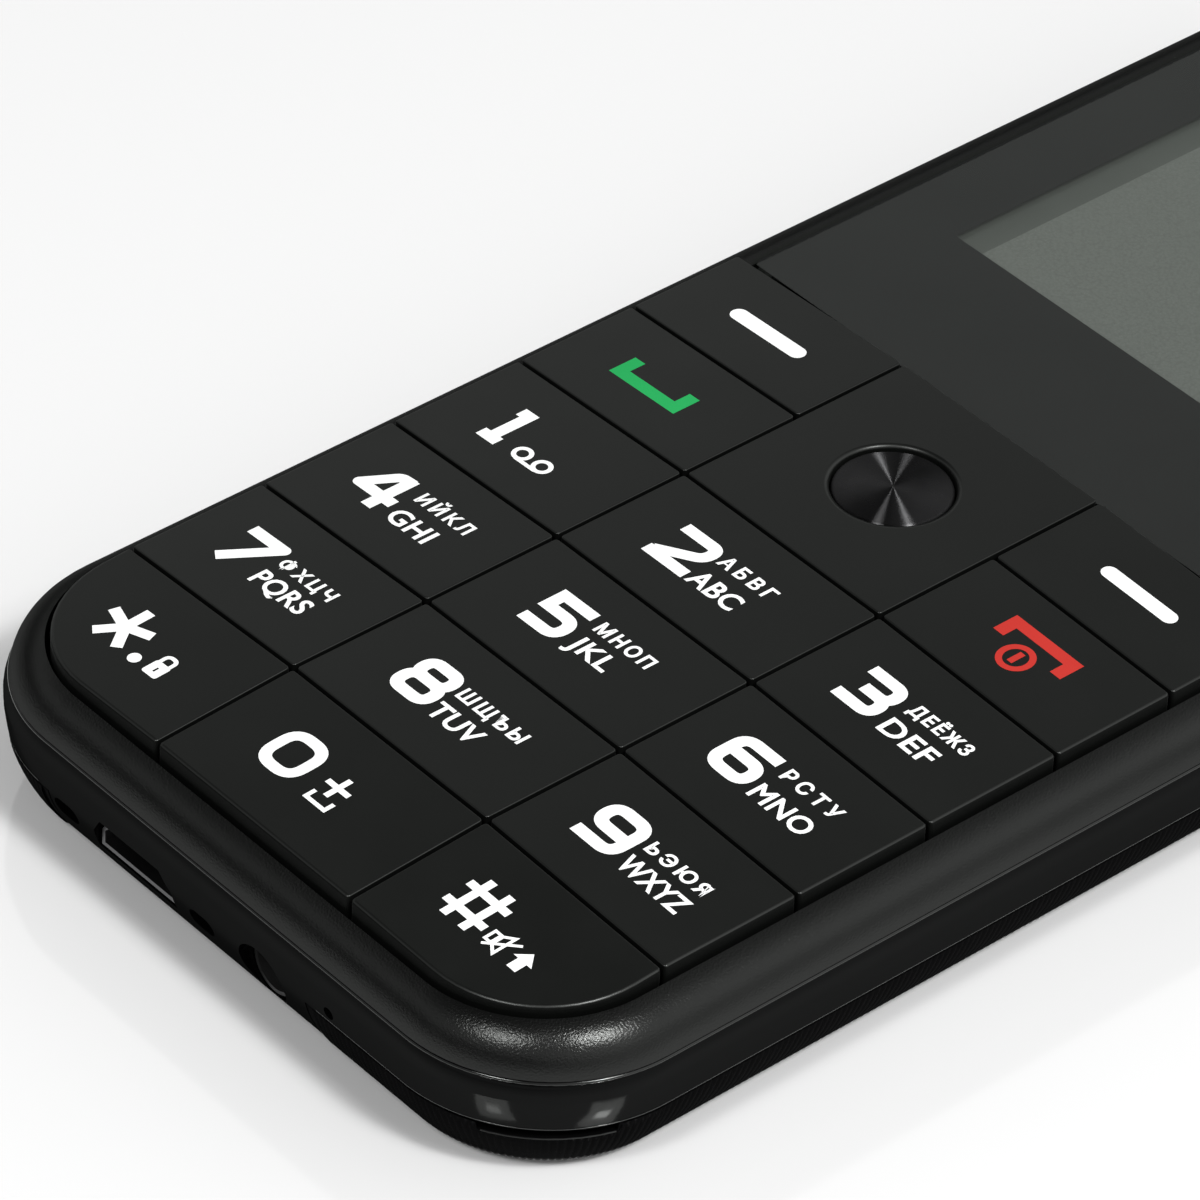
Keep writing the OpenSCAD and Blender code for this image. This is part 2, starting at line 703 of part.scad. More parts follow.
module microphone() {
    lid_z = (cover_seam_z + 0.6 + under_z) / 2;
    color(steel) {
        block([mic_x - 2, y_bot + 1.9, lid_z], [mic_x + 2, y_bot + 4.7, under_z]);
        slab(cover_seam_z + 0.6, lid_z + 0.1)
            round_rect(mic_x - 1.75, y_bot + 2.1, mic_x + 1.75, y_bot + 4.45, 0.4 * [1, 1, 1, 1]);
    }
}

module camera_module() {
    color([0.1, 0.1, 0.1]) translate([0, camera_y, 0]) difference() {
        union() {
            slab(floor_t + 1.2, under_z) centred_rect(camera_w * [1, 1], 0.6);
            slab(floor_t + 0.2, floor_t + 1.3) circle(3);
        }
        translate([0, 0, floor_t + 0.1]) cylinder(r1 = 2.5, r2 = 1.1, h = 0.8);
    }
}

module camera_window() {
    color([0.1, 0.1, 0.12]) translate([0, camera_y, 0]) {
        slab(0.2, 0.5) circle(window_r);
        translate([0, 0, 0.05]) cylinder(r1 = window_r - 0.15, r2 = window_r, h = 0.15);
    }
}

// square light source with a round light guide to the back
module flash_led() {
    color([0.9, 0.9, 0.8]) translate([led_x, camera_y, 0]) {
        slab(under_z - 0.9, under_z) square(2.6, center = true);
        difference() {
            slab(0.4, under_z - 0.85) circle(1.5);
            translate([0, 0, 0.3]) cylinder(r1 = 1.2, r2 = 0.5, h = 0.5);
        }
    }
}

module micro_usb_socket() {
    color(steel) {
        difference() {
            end_slab(usb_x, usb_z, usb_mouth_y, usb_back_y) usb_outline(0);
            end_slab(usb_x, usb_z, usb_mouth_y - 1, usb_back_y - 0.5) usb_outline(-0.3);
        }
        block([usb_x - 1.85, usb_mouth_y + 0.5, usb_z + 0.1], [usb_x + 1.85, usb_back_y - 0.3, usb_z + 0.65]);
        for (s = [-1, 1], y = [usb_back_y - 2.6, usb_back_y - 0.8])
            translate([usb_x + 2.3 * s, y, (usb_z + 1.15 + under_z) / 2])
                cube([0.6, 0.6, under_z - usb_z - 1.15], center = true);
    }
}

module headphone_jack() {
    color(black_matte) difference() {
        union() {
            block([jack_x - 3, port_wall_y + 0.1, jack_z - 1.95],
                [jack_x + 3, mouth_y + jack_l, board_z1 - 0.3]);
            end_slab(jack_x, jack_z, mouth_y, port_wall_y + 1) circle(jack_bore_r + 0.26);
        }
        end_slab(jack_x, jack_z, mouth_y - 1, mouth_y + jack_l - 1) circle(jack_bore_r);
        for (s = [-1, 1], y = [port_wall_y + 3, port_wall_y + 6.5])
            translate([jack_x + 3 * s, y, jack_z]) cube([0.8, 2, 1.2], center = true);
    }
}

// card holder: a shell with a window over the contact blocks, open towards the battery
module sim_socket() {
    color(steel) translate(sim_at - sim_size / 2) {
        difference() {
            block([0, 0, under_z - 1.35], [sim_size[0], sim_size[1], under_z]);
            block([0.5, -1, under_z - 1.1], [sim_size[0] - 0.5, sim_size[1] - 0.6, under_z - 0.25]);
            block([3, 2.5, under_z - 2], [sim_size[0] - 3, sim_size[1] - 2.5, under_z - 1]);
        }
        for (x = [4.2:3.6:12], y = [3.2, 7.6])
            block([x, y, under_z - 0.55], [x + 1.4, y + 2, under_z - 0.2]);
    }
}

// memory card shell with a thumb notch at its mouth
module memory_socket() {
    color(steel) translate(card_at - card_size / 2) difference() {
        block([0, 0, under_z - 1.3], [card_size[0], card_size[1], under_z]);
        block([1.2, -1, under_z - 1.05], [card_size[0] - 1.2, card_size[1] - 1, under_z - 0.25]);
        translate([card_size[0] / 2, 0]) slab(under_z - 2, under_z - 1) circle(2.6);
    }
}

// flat pack with rounded sides and a recess for the contacts
module battery() {
    color([0.35, 0.36, 0.38]) difference() {
        intersection() {
            slab(battery_z, battery_z + battery_t)
                round_rect(-battery_w / 2, battery_y0, battery_w / 2, battery_y1, 1.8 * [1, 1, 1, 1]);
            translate([0, 0, battery_z + battery_t / 2]) rotate([90, 0, 0])
                linear_extrude(2 * far, center = true) centred_rect([battery_w, battery_t], 1.4);
        }
        block([-4.6, battery_y1 - 0.3, battery_z + 0.8], [4.6, battery_y1 + 1, battery_z + battery_t - 0.8]);
    }
}

// four bent blade springs
module battery_contacts() {
    low = battery_z + 1;
    back = contact_l - 0.45;
    color([0.8, 0.65, 0.3]) for (x = [-3.3, -1.1, 1.1, 3.3])
        translate([x - 0.6, battery_y1 + 0.15, 0]) rotate([90, 0, 90]) linear_extrude(1.2)
            polygon([[0.5, under_z], [contact_l, under_z], [contact_l, low], [0, low + 0.5], [0, low + 1],
                [back, low + 0.6], [back, under_z - 0.4], [0.5, under_z - 0.4]]);
}

module case_screws() {
    color(steel) at_screws() {
        slab(web_z0 - 0.8, web_z0 - 0.05) circle(1.4);
        slab(web_z0 - 0.3, flange_floor_z - 0.6) circle(screw_r);
    }
}

front_housing();
side_frame();
battery_cover();
display_lens();
soft_key_left();
soft_key_right();
call_key();
end_key();
nav_plate();
ok_key();
nav_ring();
key_1();
key_2();
key_3();
key_4();
key_5();
key_6();
key_7();
key_8();
key_9();
key_star();
key_0();
key_hash();
keypad_mat();
dome_sheet();
main_board();
shield_cans();
lcd_module();
earpiece();
loudspeaker();
vibration_motor();
microphone();
camera_module();
camera_window();
flash_led();
micro_usb_socket();
headphone_jack();
sim_socket();
memory_socket();
battery();
battery_contacts();
case_screws();
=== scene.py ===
import math

import bpy
from mathutils import Matrix, Vector
from mathutils.geometry import delaunay_2d_cdt


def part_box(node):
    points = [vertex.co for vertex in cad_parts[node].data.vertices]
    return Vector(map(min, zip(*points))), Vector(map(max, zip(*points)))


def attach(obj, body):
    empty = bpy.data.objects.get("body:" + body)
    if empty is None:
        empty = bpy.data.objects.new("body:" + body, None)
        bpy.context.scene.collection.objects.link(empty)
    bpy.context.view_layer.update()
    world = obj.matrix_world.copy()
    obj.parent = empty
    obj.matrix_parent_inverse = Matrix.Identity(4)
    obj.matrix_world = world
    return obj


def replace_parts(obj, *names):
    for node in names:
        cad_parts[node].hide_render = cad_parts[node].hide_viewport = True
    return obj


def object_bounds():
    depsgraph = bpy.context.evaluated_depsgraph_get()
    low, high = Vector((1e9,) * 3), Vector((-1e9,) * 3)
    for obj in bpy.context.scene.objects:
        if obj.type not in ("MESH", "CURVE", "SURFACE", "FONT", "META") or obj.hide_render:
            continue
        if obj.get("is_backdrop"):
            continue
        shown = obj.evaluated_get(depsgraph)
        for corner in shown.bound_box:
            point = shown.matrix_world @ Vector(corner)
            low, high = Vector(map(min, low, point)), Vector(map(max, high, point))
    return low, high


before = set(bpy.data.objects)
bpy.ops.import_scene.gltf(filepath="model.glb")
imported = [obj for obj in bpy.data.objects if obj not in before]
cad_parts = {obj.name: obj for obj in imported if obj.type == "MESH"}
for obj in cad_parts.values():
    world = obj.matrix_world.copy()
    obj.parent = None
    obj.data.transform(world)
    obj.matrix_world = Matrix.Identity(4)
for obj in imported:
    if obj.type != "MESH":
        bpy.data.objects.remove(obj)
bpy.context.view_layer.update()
MM = 0.001
scene = bpy.context.scene
scene.view_settings.view_transform = "Standard"

# housing, in millimetres
BODY_T = 13.1
BODY_HW = 29.6
Y_BOT = -68.67
CORNER_R = 11.7
BULGE_Z, BULGE_R = 6.95, 10.5  # height of the widest line of the side, and the radius of its section
FOOT_R, FOOT_RHO = 1.3, 8.46  # round between the cover's edge and the back
FOOT_Z = 0.5
FOOT_START, FOOT_END = -38, -80  # degrees of that round
SIDE_SHARE = 0.7  # share of the cover edge's section that lies above the round

# keypad, in millimetres
KEY_HW = 26.24
MIDDLE_HW = 9.5
ROW_LINES = [-65.94, -54.97, -44.0, -33.03, -22.06, -12.06, -2.46]
GAP = 0.28
CAP_Z = 9.72
CROWN = 900.0  # the tops fall by x squared over this
SLOPE = math.tan(math.radians(3.2))
KEY_CORNER, FIELD_CORNER = 0.26, 8.8
EDGE, RIM = 0.11, 0.26  # rounding of the inner edges and of the edges round the key field
PLATE_LIFT = 0.35
OK_Y = -12.18
OK_HOLE_R, OK_HOLE_SOFT = 4.22, 0.38
COLS = [(-KEY_HW, -MIDDLE_HW - GAP / 2), (-MIDDLE_HW + GAP / 2, MIDDLE_HW - GAP / 2),
        (MIDDLE_HW + GAP / 2, KEY_HW)]
ROWS = [(low + (GAP / 2 if k else 0), high - GAP / 2)
        for k, (low, high) in enumerate(zip(ROW_LINES, ROW_LINES[1:]))]


# materials
PATCHES, GLOSS_PATCHES = 90.0, 153.0  # noise scales of the colour and of the gloss
BLACK_PATCHES, BLACK_GLOSS_PATCHES = 80.0, 140.0
COVER_FLAT, COVER_EDGE = 0.6, 0.03  # sheen of the battery cover on the back and at its edge; the low sheen at the edge is painted shade
COVER_FLAT_Z, COVER_EDGE_Z = 0.0001, 0.0008  # heights of these, in metres


class Nodes:
    """A material under construction, with short helpers for its node tree."""

    def __init__(self, name):
        self.mat = bpy.data.materials.new(name)
        self.mat.use_nodes = True
        self.tree = self.mat.node_tree
        self.bsdf = self.tree.nodes["Principled BSDF"]

    def add(self, kind, **inputs):
        """A new node with values on its inputs."""
        node = self.tree.nodes.new(kind)
        for key, value in inputs.items():
            node.inputs[key.replace("_", " ")].default_value = value
        return node

    def link(self, a, b):
        """Join an output to an input."""
        self.tree.links.new(a, b)

    def place(self):
        """Position in the object's own space."""
        return self.add("ShaderNodeTexCoord").outputs["Object"]

    def noise(self, scale, detail=3.0):
        """Noise by position."""
        node = self.add("ShaderNodeTexNoise", Scale=scale, Detail=detail, Roughness=0.55)
        self.link(self.place(), node.inputs["Vector"])
        return node.outputs["Fac"]

    def ramp(self, fac, low, high, a=0.3, b=0.7):
        """A value that goes from low to high while fac goes from a to b."""
        node = self.add("ShaderNodeMapRange", From_Min=a, From_Max=b, To_Min=low, To_Max=high)
        self.link(fac, node.inputs["Value"])
        return node.outputs["Result"]

    def tint(self, fac, dark, light, a=0.3, b=0.7):
        """A colour that goes from dark to light while fac goes from a to b."""
        node = self.add("ShaderNodeValToRGB")
        for element, place, colour in zip(node.color_ramp.elements, (a, b), (dark, light)):
            element.position = place
            element.color = (*colour, 1)
        self.link(fac, node.inputs["Fac"])
        return node.outputs["Color"]

    def bump(self, height, distance):
        """Raised grain on the body of the material."""
        node = self.add("ShaderNodeBump", Strength=1.0, Distance=distance)
        self.link(height, node.inputs["Height"])
        self.link(node.outputs["Normal"], self.bsdf.inputs["Normal"])
        return node

    def math(self, kind, value):
        """A math node with its first input linked."""
        node = self.add("ShaderNodeMath")
        node.operation = kind
        self.link(value, node.inputs[0])
        return node

    def mix(self, fac, under, over):
        """Two shaders mixed as the material's surface."""
        node = self.add("ShaderNodeMixShader")
        self.link(fac, node.inputs["Fac"])
        self.link(under.outputs["BSDF"], node.inputs[1])
        self.link(over.outputs["BSDF"], node.inputs[2])
        self.surface(node.outputs["Shader"])

    def surface(self, shader):
        """Take a shader as the material's surface."""
        self.link(shader, self.tree.nodes["Material Output"].inputs["Surface"])


def finish_of(name, dark, light, rough, spec=0.5, metal=0.0, grain=6000.0, depth=2e-6, coat=0.0):
    """Moulded or metal surface: two close colours, uneven gloss and a fine grain."""
    m = Nodes(name)
    m.link(m.tint(m.noise(PATCHES, 4.0), dark, light), m.bsdf.inputs["Base Color"])
    m.link(m.ramp(m.noise(GLOSS_PATCHES, 5.0), *rough), m.bsdf.inputs["Roughness"])
    m.bsdf.inputs["Specular IOR Level"].default_value = spec
    m.bsdf.inputs["Metallic"].default_value = metal
    m.bsdf.inputs["Coat Weight"].default_value = coat
    if depth:
        m.bump(m.noise(grain, 2.0), depth)
    return m.mat


def ink(name, dark, light):
    """Printed ink on the keys."""
    return finish_of(name, dark, light, (0.5, 0.62), 0.2, depth=0)


def metal(name, dark, light, rough, grain=2400.0):
    """Bare metal."""
    return finish_of(name, dark, light, rough, metal=1.0, grain=grain)


def black_plastic(name, dark, light, rough, ior, mirror, grain, depth, flat=1.0):
    """Dark plastic: a matt body under a sheen with a moulded grain; flat is its most at flat angles."""
    m = Nodes(name)
    m.link(m.tint(m.noise(BLACK_PATCHES, 4.0), dark, light), m.bsdf.inputs["Base Color"])
    m.bsdf.inputs["Roughness"].default_value = 0.8
    m.bsdf.inputs["Specular IOR Level"].default_value = 0.0
    bump = m.bump(m.noise(grain, 2.0), depth)
    m.sheen = m.add("ShaderNodeBsdfGlossy", Color=(mirror, mirror * 1.03, mirror, 1))
    m.link(m.ramp(m.noise(BLACK_GLOSS_PATCHES, 5.0), *rough), m.sheen.inputs["Roughness"])
    fresnel = m.add("ShaderNodeFresnel", IOR=ior)
    for node in (m.sheen, fresnel):
        m.link(bump.outputs["Normal"], node.inputs["Normal"])
    share = m.math("MINIMUM", fresnel.outputs["Fac"])
    share.inputs[1].default_value = flat
    m.mix(share.outputs[0], m.bsdf, m.sheen)
    return m


def cover_plastic():
    """Battery cover: more sheen and a moulded grain on the flat of the back, and little sheen on the ribbed
    edge, where the dullness is painted shade.
    """
    m = black_plastic("cover_plastic", (0.0014, 0.0014, 0.0015), (0.0022, 0.0022, 0.0023), (0.2, 0.3),
                      1.4, 0.08, 5000.0, 6e-6)
    axes = m.add("ShaderNodeSeparateXYZ")
    m.link(m.place(), axes.inputs["Vector"])
    # sheen falls with height from the back to the ribbed edge; the back's sheen is the plastic's own, the
    # dull edge is painted shade
    sheen = m.ramp(axes.outputs["Z"], COVER_FLAT, COVER_EDGE, COVER_FLAT_Z, COVER_EDGE_Z)
    m.link(sheen, m.sheen.inputs["Color"])
    return m.mat


def spun_metal():
    """Turned disc: grooves round the middle stretch the highlights into spokes."""
    m = Nodes("ok_spun_metal")
    m.tree.nodes.remove(m.bsdf)
    spun = m.add("ShaderNodeBsdfAnisotropic", Anisotropy=0.85)
    m.link(m.tint(m.noise(300.0), (0.043, 0.043, 0.044), (0.055, 0.055, 0.056)), spun.inputs["Color"])
    m.link(m.ramp(m.noise(900.0), 0.26, 0.30), spun.inputs["Roughness"])
    tangent = m.add("ShaderNodeTangent")
    tangent.direction_type = "RADIAL"
    tangent.axis = "Z"
    m.link(tangent.outputs["Tangent"], spun.inputs["Tangent"])
    m.surface(spun.outputs["BSDF"])
    return m.mat


def lens_glass(name, tint):
    """Clear lens: it lets the layers below show and mirrors the surroundings on its outside."""
    m = Nodes(name)
    m.tree.nodes.remove(m.bsdf)
    clear = m.add("ShaderNodeBsdfTransparent", Color=(*tint, 1))
    mirror = m.add("ShaderNodeBsdfGlossy", Color=(0.79, 0.84, 0.79, 1))
    m.link(m.ramp(m.noise(60.0, 5.0), 0.02, 0.06), mirror.inputs["Roughness"])
    outer = m.math("SUBTRACT", m.add("ShaderNodeFresnel", IOR=1.44).outputs["Fac"])
    outer.use_clamp = True
    m.link(m.add("ShaderNodeNewGeometry").outputs["Backfacing"], outer.inputs[1])
    m.mix(outer.outputs[0], clear, mirror)
    return m.mat


def pixel_panel(name, dark, light):
    """Display layer with a faint grid of cells."""
    m = Nodes(name)
    cells = m.add("ShaderNodeTexVoronoi", Scale=4200.0)
    m.link(m.place(), cells.inputs["Vector"])
    m.link(m.tint(cells.outputs["Distance"], light, dark, 0.1, 0.8), m.bsdf.inputs["Base Color"])
    m.link(m.ramp(m.noise(40.0), 0.4, 0.55), m.bsdf.inputs["Roughness"])
    m.bsdf.inputs["Specular IOR Level"].default_value = 0.2
    return m.mat


bezel_mat = black_plastic("bezel_plastic", (0.0024, 0.0025, 0.0024), (0.0034, 0.0035, 0.0034), (0.20, 0.26),
                          1.5, 0.60, 6800.0, 2.5e-5, 0.05).mat
band_mat = black_plastic("band_gloss", (0.0010, 0.0010, 0.0011), (0.0014, 0.0014, 0.0015), (0.03, 0.06),
                         1.45, 0.21, 600.0, 5e-7, 0.045).mat
# soft edges: the band plastic with full sheen and no cap at flat angles, a brighter copy whose extra glints
# are painted highlight
glint_lip_mat = black_plastic("lip_gloss_painted_glint", (0.0010, 0.0010, 0.0011), (0.0014, 0.0014, 0.0015), (0.10, 0.14),
                        1.5, 1.0, 600.0, 5e-7).mat
key_mat = black_plastic("key_plastic", (0.0024, 0.0027, 0.0024), (0.0032, 0.0036, 0.0032), (0.30, 0.37),
                        1.48, 0.82, 9000.0, 2.5e-6, 0.10).mat
# key walls: a darker copy of the key plastic with little sheen, painted shade for the gaps between the keys
painted_shade_wall_mat = black_plastic("key_wall_painted_shade", (0.0020, 0.0022, 0.0020), (0.0028, 0.0031, 0.0028), (0.45, 0.55),
                         1.45, 0.16, 9000.0, 2.5e-6).mat
cover_mat = cover_plastic()
ink_white = ink("ink_white", (0.82, 0.83, 0.82), (0.90, 0.91, 0.90))
ink_green = ink("ink_green", (0.012, 0.30, 0.075), (0.016, 0.35, 0.09))
ink_red = ink("ink_red", (0.42, 0.024, 0.018), (0.48, 0.030, 0.022))
steel_mat = metal("steel", (0.50, 0.50, 0.51), (0.62, 0.62, 0.63), (0.2, 0.36))
# steel darkened for the socket shell: painted shade inside the port
usb_steel_painted_shade_mat = metal("usb_steel_painted_shade", (0.09, 0.09, 0.092), (0.13, 0.13, 0.132), (0.3, 0.42))
brass_mat = metal("contact_gold", (0.70, 0.48, 0.20), (0.80, 0.58, 0.26), (0.18, 0.34), 6000.0)
board_mat = finish_of("board", (0.010, 0.085, 0.045), (0.016, 0.11, 0.06), (0.3, 0.5), 0.4, grain=1500.0)
silicone_mat = finish_of("silicone", (0.42, 0.42, 0.40), (0.5, 0.5, 0.48), (0.55, 0.7), 0.3)
capsule_mat = finish_of("capsule", (0.016, 0.016, 0.018), (0.026, 0.026, 0.028), (0.4, 0.6), 0.4,
                        grain=2500.0, depth=8e-6)
jack_mat = finish_of("jack_plastic", (0.008, 0.008, 0.008), (0.013, 0.013, 0.013), (0.35, 0.5), 0.4)
battery_mat = finish_of("battery_wrap", (0.09, 0.095, 0.10), (0.12, 0.125, 0.13), (0.35, 0.5), 0.4,
                        grain=900.0, depth=4e-6)
flash_mat = finish_of("flash_lens", (0.72, 0.70, 0.55), (0.82, 0.80, 0.66), (0.12, 0.25), 0.5,
                      grain=3000.0, depth=1e-5)
eye_mat = finish_of("camera_eye", (0.004, 0.004, 0.010), (0.012, 0.006, 0.020), (0.02, 0.05), 0.8,
                    grain=800.0, depth=4e-7, coat=0.6)
ok_mat = spun_metal()
lens_mat = lens_glass("lens_clear", (0.95, 0.97, 0.95))
window_mat = lens_glass("camera_glass", (0.82, 0.82, 0.84))
print_mat = finish_of("lens_print", (0.0055, 0.0055, 0.006), (0.0075, 0.0075, 0.008), (0.3, 0.4), 0.1,
                      depth=0)
mask_mat = finish_of("display_mask", (0.068, 0.070, 0.068), (0.076, 0.078, 0.076), (0.4, 0.5), 0.1,
                     depth=0)
lcd_mat = pixel_panel("display_cells", (0.104, 0.105, 0.103), (0.128, 0.130, 0.127))

PAINT = {"front_housing": bezel_mat, "side_frame": band_mat, "battery_cover": cover_mat,
         "display_lens": lens_mat, "ok_key": ok_mat, "nav_ring": silicone_mat, "keypad_mat": silicone_mat,
         "dome_sheet": steel_mat, "main_board": board_mat, "shield_cans": steel_mat, "lcd_module": mask_mat,
         "earpiece": capsule_mat, "loudspeaker": capsule_mat, "vibration_motor": steel_mat,
         "microphone": steel_mat, "camera_module": capsule_mat, "camera_window": window_mat,
         # the micro-USB shell takes the darkened steel: painted shade inside the port
         "flash_led": flash_mat, "micro_usb_socket": usb_steel_painted_shade_mat, "headphone_jack": jack_mat,
         "sim_socket": steel_mat, "memory_socket": steel_mat, "battery": battery_mat,
         "battery_contacts": brass_mat, "case_screws": steel_mat}
for name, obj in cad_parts.items():
    obj.data.materials.clear()
    obj.data.materials.append(PAINT.get(name, key_mat))


# meshes
def mesh_object(name, verts, faces, mat, body, normals=None):
    """A mesh from millimetre coordinates that rides on a body."""
    data = bpy.data.meshes.new(name)
    data.from_pydata([Vector(v) * MM for v in verts], [], faces)
    data.validate()
    data.materials.append(mat)
    data.shade_smooth()
    if normals:
        data.normals_split_custom_set_from_vertices([Vector(n).normalized() for n in normals])
    obj = bpy.data.objects.new(name, data)
    scene.collection.objects.link(obj)
    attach(obj, body)
    return obj


def polar(degrees):
    """Cosine and sine of an angle in degrees."""
    return math.cos(math.radians(degrees)), math.sin(math.radians(degrees))


def circle(n):
    """Cosines and sines of n even steps round a circle."""
    return [(math.cos(2 * math.pi * k / n), math.sin(2 * math.pi * k / n)) for k in range(n)]


def belts(first, rows, n):
    """Quads between rows of n points that close on themselves; first is the number of the first point."""
    faces = []
    for low in range(first, first + rows * n, n):
        for i in range(n):
            j = (i + 1) % n
            faces.append((low + i, low + j, low + n + j, low + n + i))
    return faces


def ring(x0, y0, x1, y1, radii, steps):
    """Rounded rectangle, counter-clockwise from the lower left corner, with outward directions."""
    pts = []
    corners = [(x0, y0, 1, 1, 180), (x1, y0, -1, 1, 270), (x1, y1, -1, -1, 0), (x0, y1, 1, -1, 90)]
    for (cx, cy, sx, sy, start), r, n in zip(corners, radii, steps):
        for k in range(n + 1):
            d = Vector(polar(start + 90 * k / n))
            pts.append((cx + sx * r + r * d.x, cy + sy * r + r * d.y, d))
    return pts


def triangles(loops, extra, wanted):
    """Points and upward triangles between loops and extra points, where wanted is true of the middle."""
    flat, edges = [], []
    for loop in loops:
        first = len(flat)
        flat += loop
        edges += [(first + k, first + (k + 1) % len(loop)) for k in range(len(loop))]
    pts, _, tris, *_ = delaunay_2d_cdt(flat + extra, edges, [], 1, 1e-6)
    faces = []
    for t in tris:
        a, b, c = (pts[k] for k in t)
        if wanted((a + b + c) / 3):
            faces.append(tuple(t) if (b - a).cross(c - a) >= 0 else tuple(t[::-1]))
    return pts, faces


# key caps
EDGE_TURNS = [0, 12, 24, 36, 48, 60, 72, 82, 90]
SHADED_WALL_ROWS = 4  # rows of faces, the wall and the start of the rounded edge, that take a darker, duller copy of the key plastic as painted shade in the gaps between the keys
WIDE_CORNER, WIDE_STEPS, SMALL_STEPS = 2, 14, 5  # corners wider than the first have more steps
TOP_GRID = 1.1
HOLE_SLACK = 0.01
HOLE_SIDES = 72
HOLE_DROP = 0.6  # height of a hole's soft edge, as a share of its width


def top_z(x, y, low):
    """Height of the key tops: a crown across the phone, and a slope below the lowest digit row."""
    return BODY_T - x * x / CROWN - (max(0.0, ROW_LINES[1] - y) * SLOPE if low else 0.0)


def top_normal(x, low):
    """Direction square to the key tops."""
    return Vector((2 * x / CROWN, -SLOPE if low else 0.0, 1)).normalized()


def side_mix(d, rounds):
    """Edge radius at an outward direction, blended round the corners."""
    shares = (max(0, -d.x), max(0, -d.y), max(0, d.x), max(0, d.y))
    return sum(share ** 2 * r for share, r in zip(shares, rounds))


def cap_walls(base, rounds, low, z0):
    """Points and normals of a cap's wall and rounded edge, row by row."""
    verts = [(x, y, z0) for x, y, d in base]
    normals = [(d.x, d.y, 0) for x, y, d in base]
    for turn in EDGE_TURNS:
        c, s = polar(turn)
        for x, y, d in base:
            r = side_mix(d, rounds)
            px, py = x - d.x * r * (1 - c), y - d.y * r * (1 - c)
            up = top_normal(px, low)
            verts.append((px, py, top_z(px, py, low) - r * (1 - s)))
            normals.append((d.x * c + up.x * s, d.y * c + up.y * s, up.z * s))
    return verts, normals


def hole_walls(hole, low, z0):
    """Points and normals of the soft edge and the wall of a round hole, row by row."""
    x, y, radius, soft = hole
    arc = circle(HOLE_SIDES)
    verts, normals = [], []
    for turn in EDGE_TURNS[::-1]:
        c, s = polar(turn)
        r = radius + soft * (1 - c)
        for a, b in arc:
            px, py = x + r * a, y + r * b
            verts.append((px, py, top_z(px, py, low) - HOLE_DROP * soft * (1 - s)))
            normals.append((-a * c, -b * c, s))
    verts += [(x + radius * a, y + radius * b, z0) for a, b in arc]
    normals += [(-a, -b, 0) for a, b in arc]
    return verts, normals


def grid_steps(values):
    """Even steps between the least and the greatest of some values, clear of both."""
    steps = []
    at = min(values) + TOP_GRID
    while at < max(values) - TOP_GRID / 2:
        steps.append(at)
        at += TOP_GRID
    return steps


def cap(name, box, radii, rounds, low, hole=None, z0=CAP_Z):
    """Key cap: walls, rounded edges and a crowned top. rounds are the edge radii left, low, right, high."""
    base = ring(*box, radii, [WIDE_STEPS if r > WIDE_CORNER else SMALL_STEPS for r in radii])
    n = len(base)
    verts, normals = cap_walls(base, rounds, low, z0)
    faces = belts(0, len(EDGE_TURNS), n)
    loops = [[Vector(v[:2]) for v in verts[-n:]]]
    edge_x, edge_y = ([v[k] for v in verts[-n:]] for k in (0, 1))
    grid = [Vector((x, y)) for x in grid_steps(edge_x) for y in grid_steps(edge_y)]

    def clear(p, room=0.0):
        """Whether a point of the top lies outside the hole, with some room."""
        return not hole or (p - Vector(hole[:2])).length > hole[2] + hole[3] - HOLE_SLACK + room

    if hole:
        x, y, radius, soft = hole
        outer = radius + soft
        loops.append([Vector((x + outer * a, y + outer * b)) for a, b in circle(HOLE_SIDES)])
    pts, tops = triangles(loops, [p for p in grid if clear(p, TOP_GRID / 2)], clear)
    faces += [tuple(len(verts) + k for k in t) for t in tops]
    verts += [(p.x, p.y, top_z(p.x, p.y, low)) for p in pts]
    normals += [tuple(top_normal(p.x, low)) for p in pts]
    if hole:
        faces += belts(len(verts), len(EDGE_TURNS), HOLE_SIDES)
        inner, inner_normals = hole_walls(hole, low, z0)
        verts += inner
        normals += inner_normals
    obj = mesh_object(name + "_cap", verts, faces, key_mat, name, normals)
    # the walls and the start of their rounding take the darker copy: painted shade in the gaps between the
    # keys
    obj.data.materials.append(painted_shade_wall_mat)
    for face in obj.data.polygons[:SHADED_WALL_ROWS * n]:
        face.material_index = 1
    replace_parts(obj, name)


KEYS = {"key_star": (0, 0), "key_0": (1, 0), "key_hash": (2, 0), "key_7": (0, 1), "key_8": (1, 1),
        "key_9": (2, 1), "key_4": (0, 2), "key_5": (1, 2), "key_6": (2, 2), "key_1": (0, 3), "key_2": (1, 3),
        "key_3": (2, 3), "call_key": (0, 4), "end_key": (2, 4), "soft_key_left": (0, 5),
        "soft_key_right": (2, 5)}
for name, (col, row) in KEYS.items():
    radii = [KEY_CORNER] * 4
    if row == 0 and col != 1:
        radii[0 if col == 0 else 1] = FIELD_CORNER
    rounds = [RIM if col == 0 else EDGE, RIM if row == 0 else EDGE, RIM if col == 2 else EDGE, EDGE]
    cap(name, (COLS[col][0], ROWS[row][0], COLS[col][1], ROWS[row][1]), radii, rounds, row == 0)
cap("nav_plate", (COLS[1][0], ROWS[4][0], COLS[1][1], ROWS[5][1]), [KEY_CORNER] * 4, [EDGE] * 4, False,
    (0.0, OK_Y, OK_HOLE_R, OK_HOLE_SOFT), CAP_Z + PLATE_LIFT)


# turned pieces
TURNED_SIDES = 96


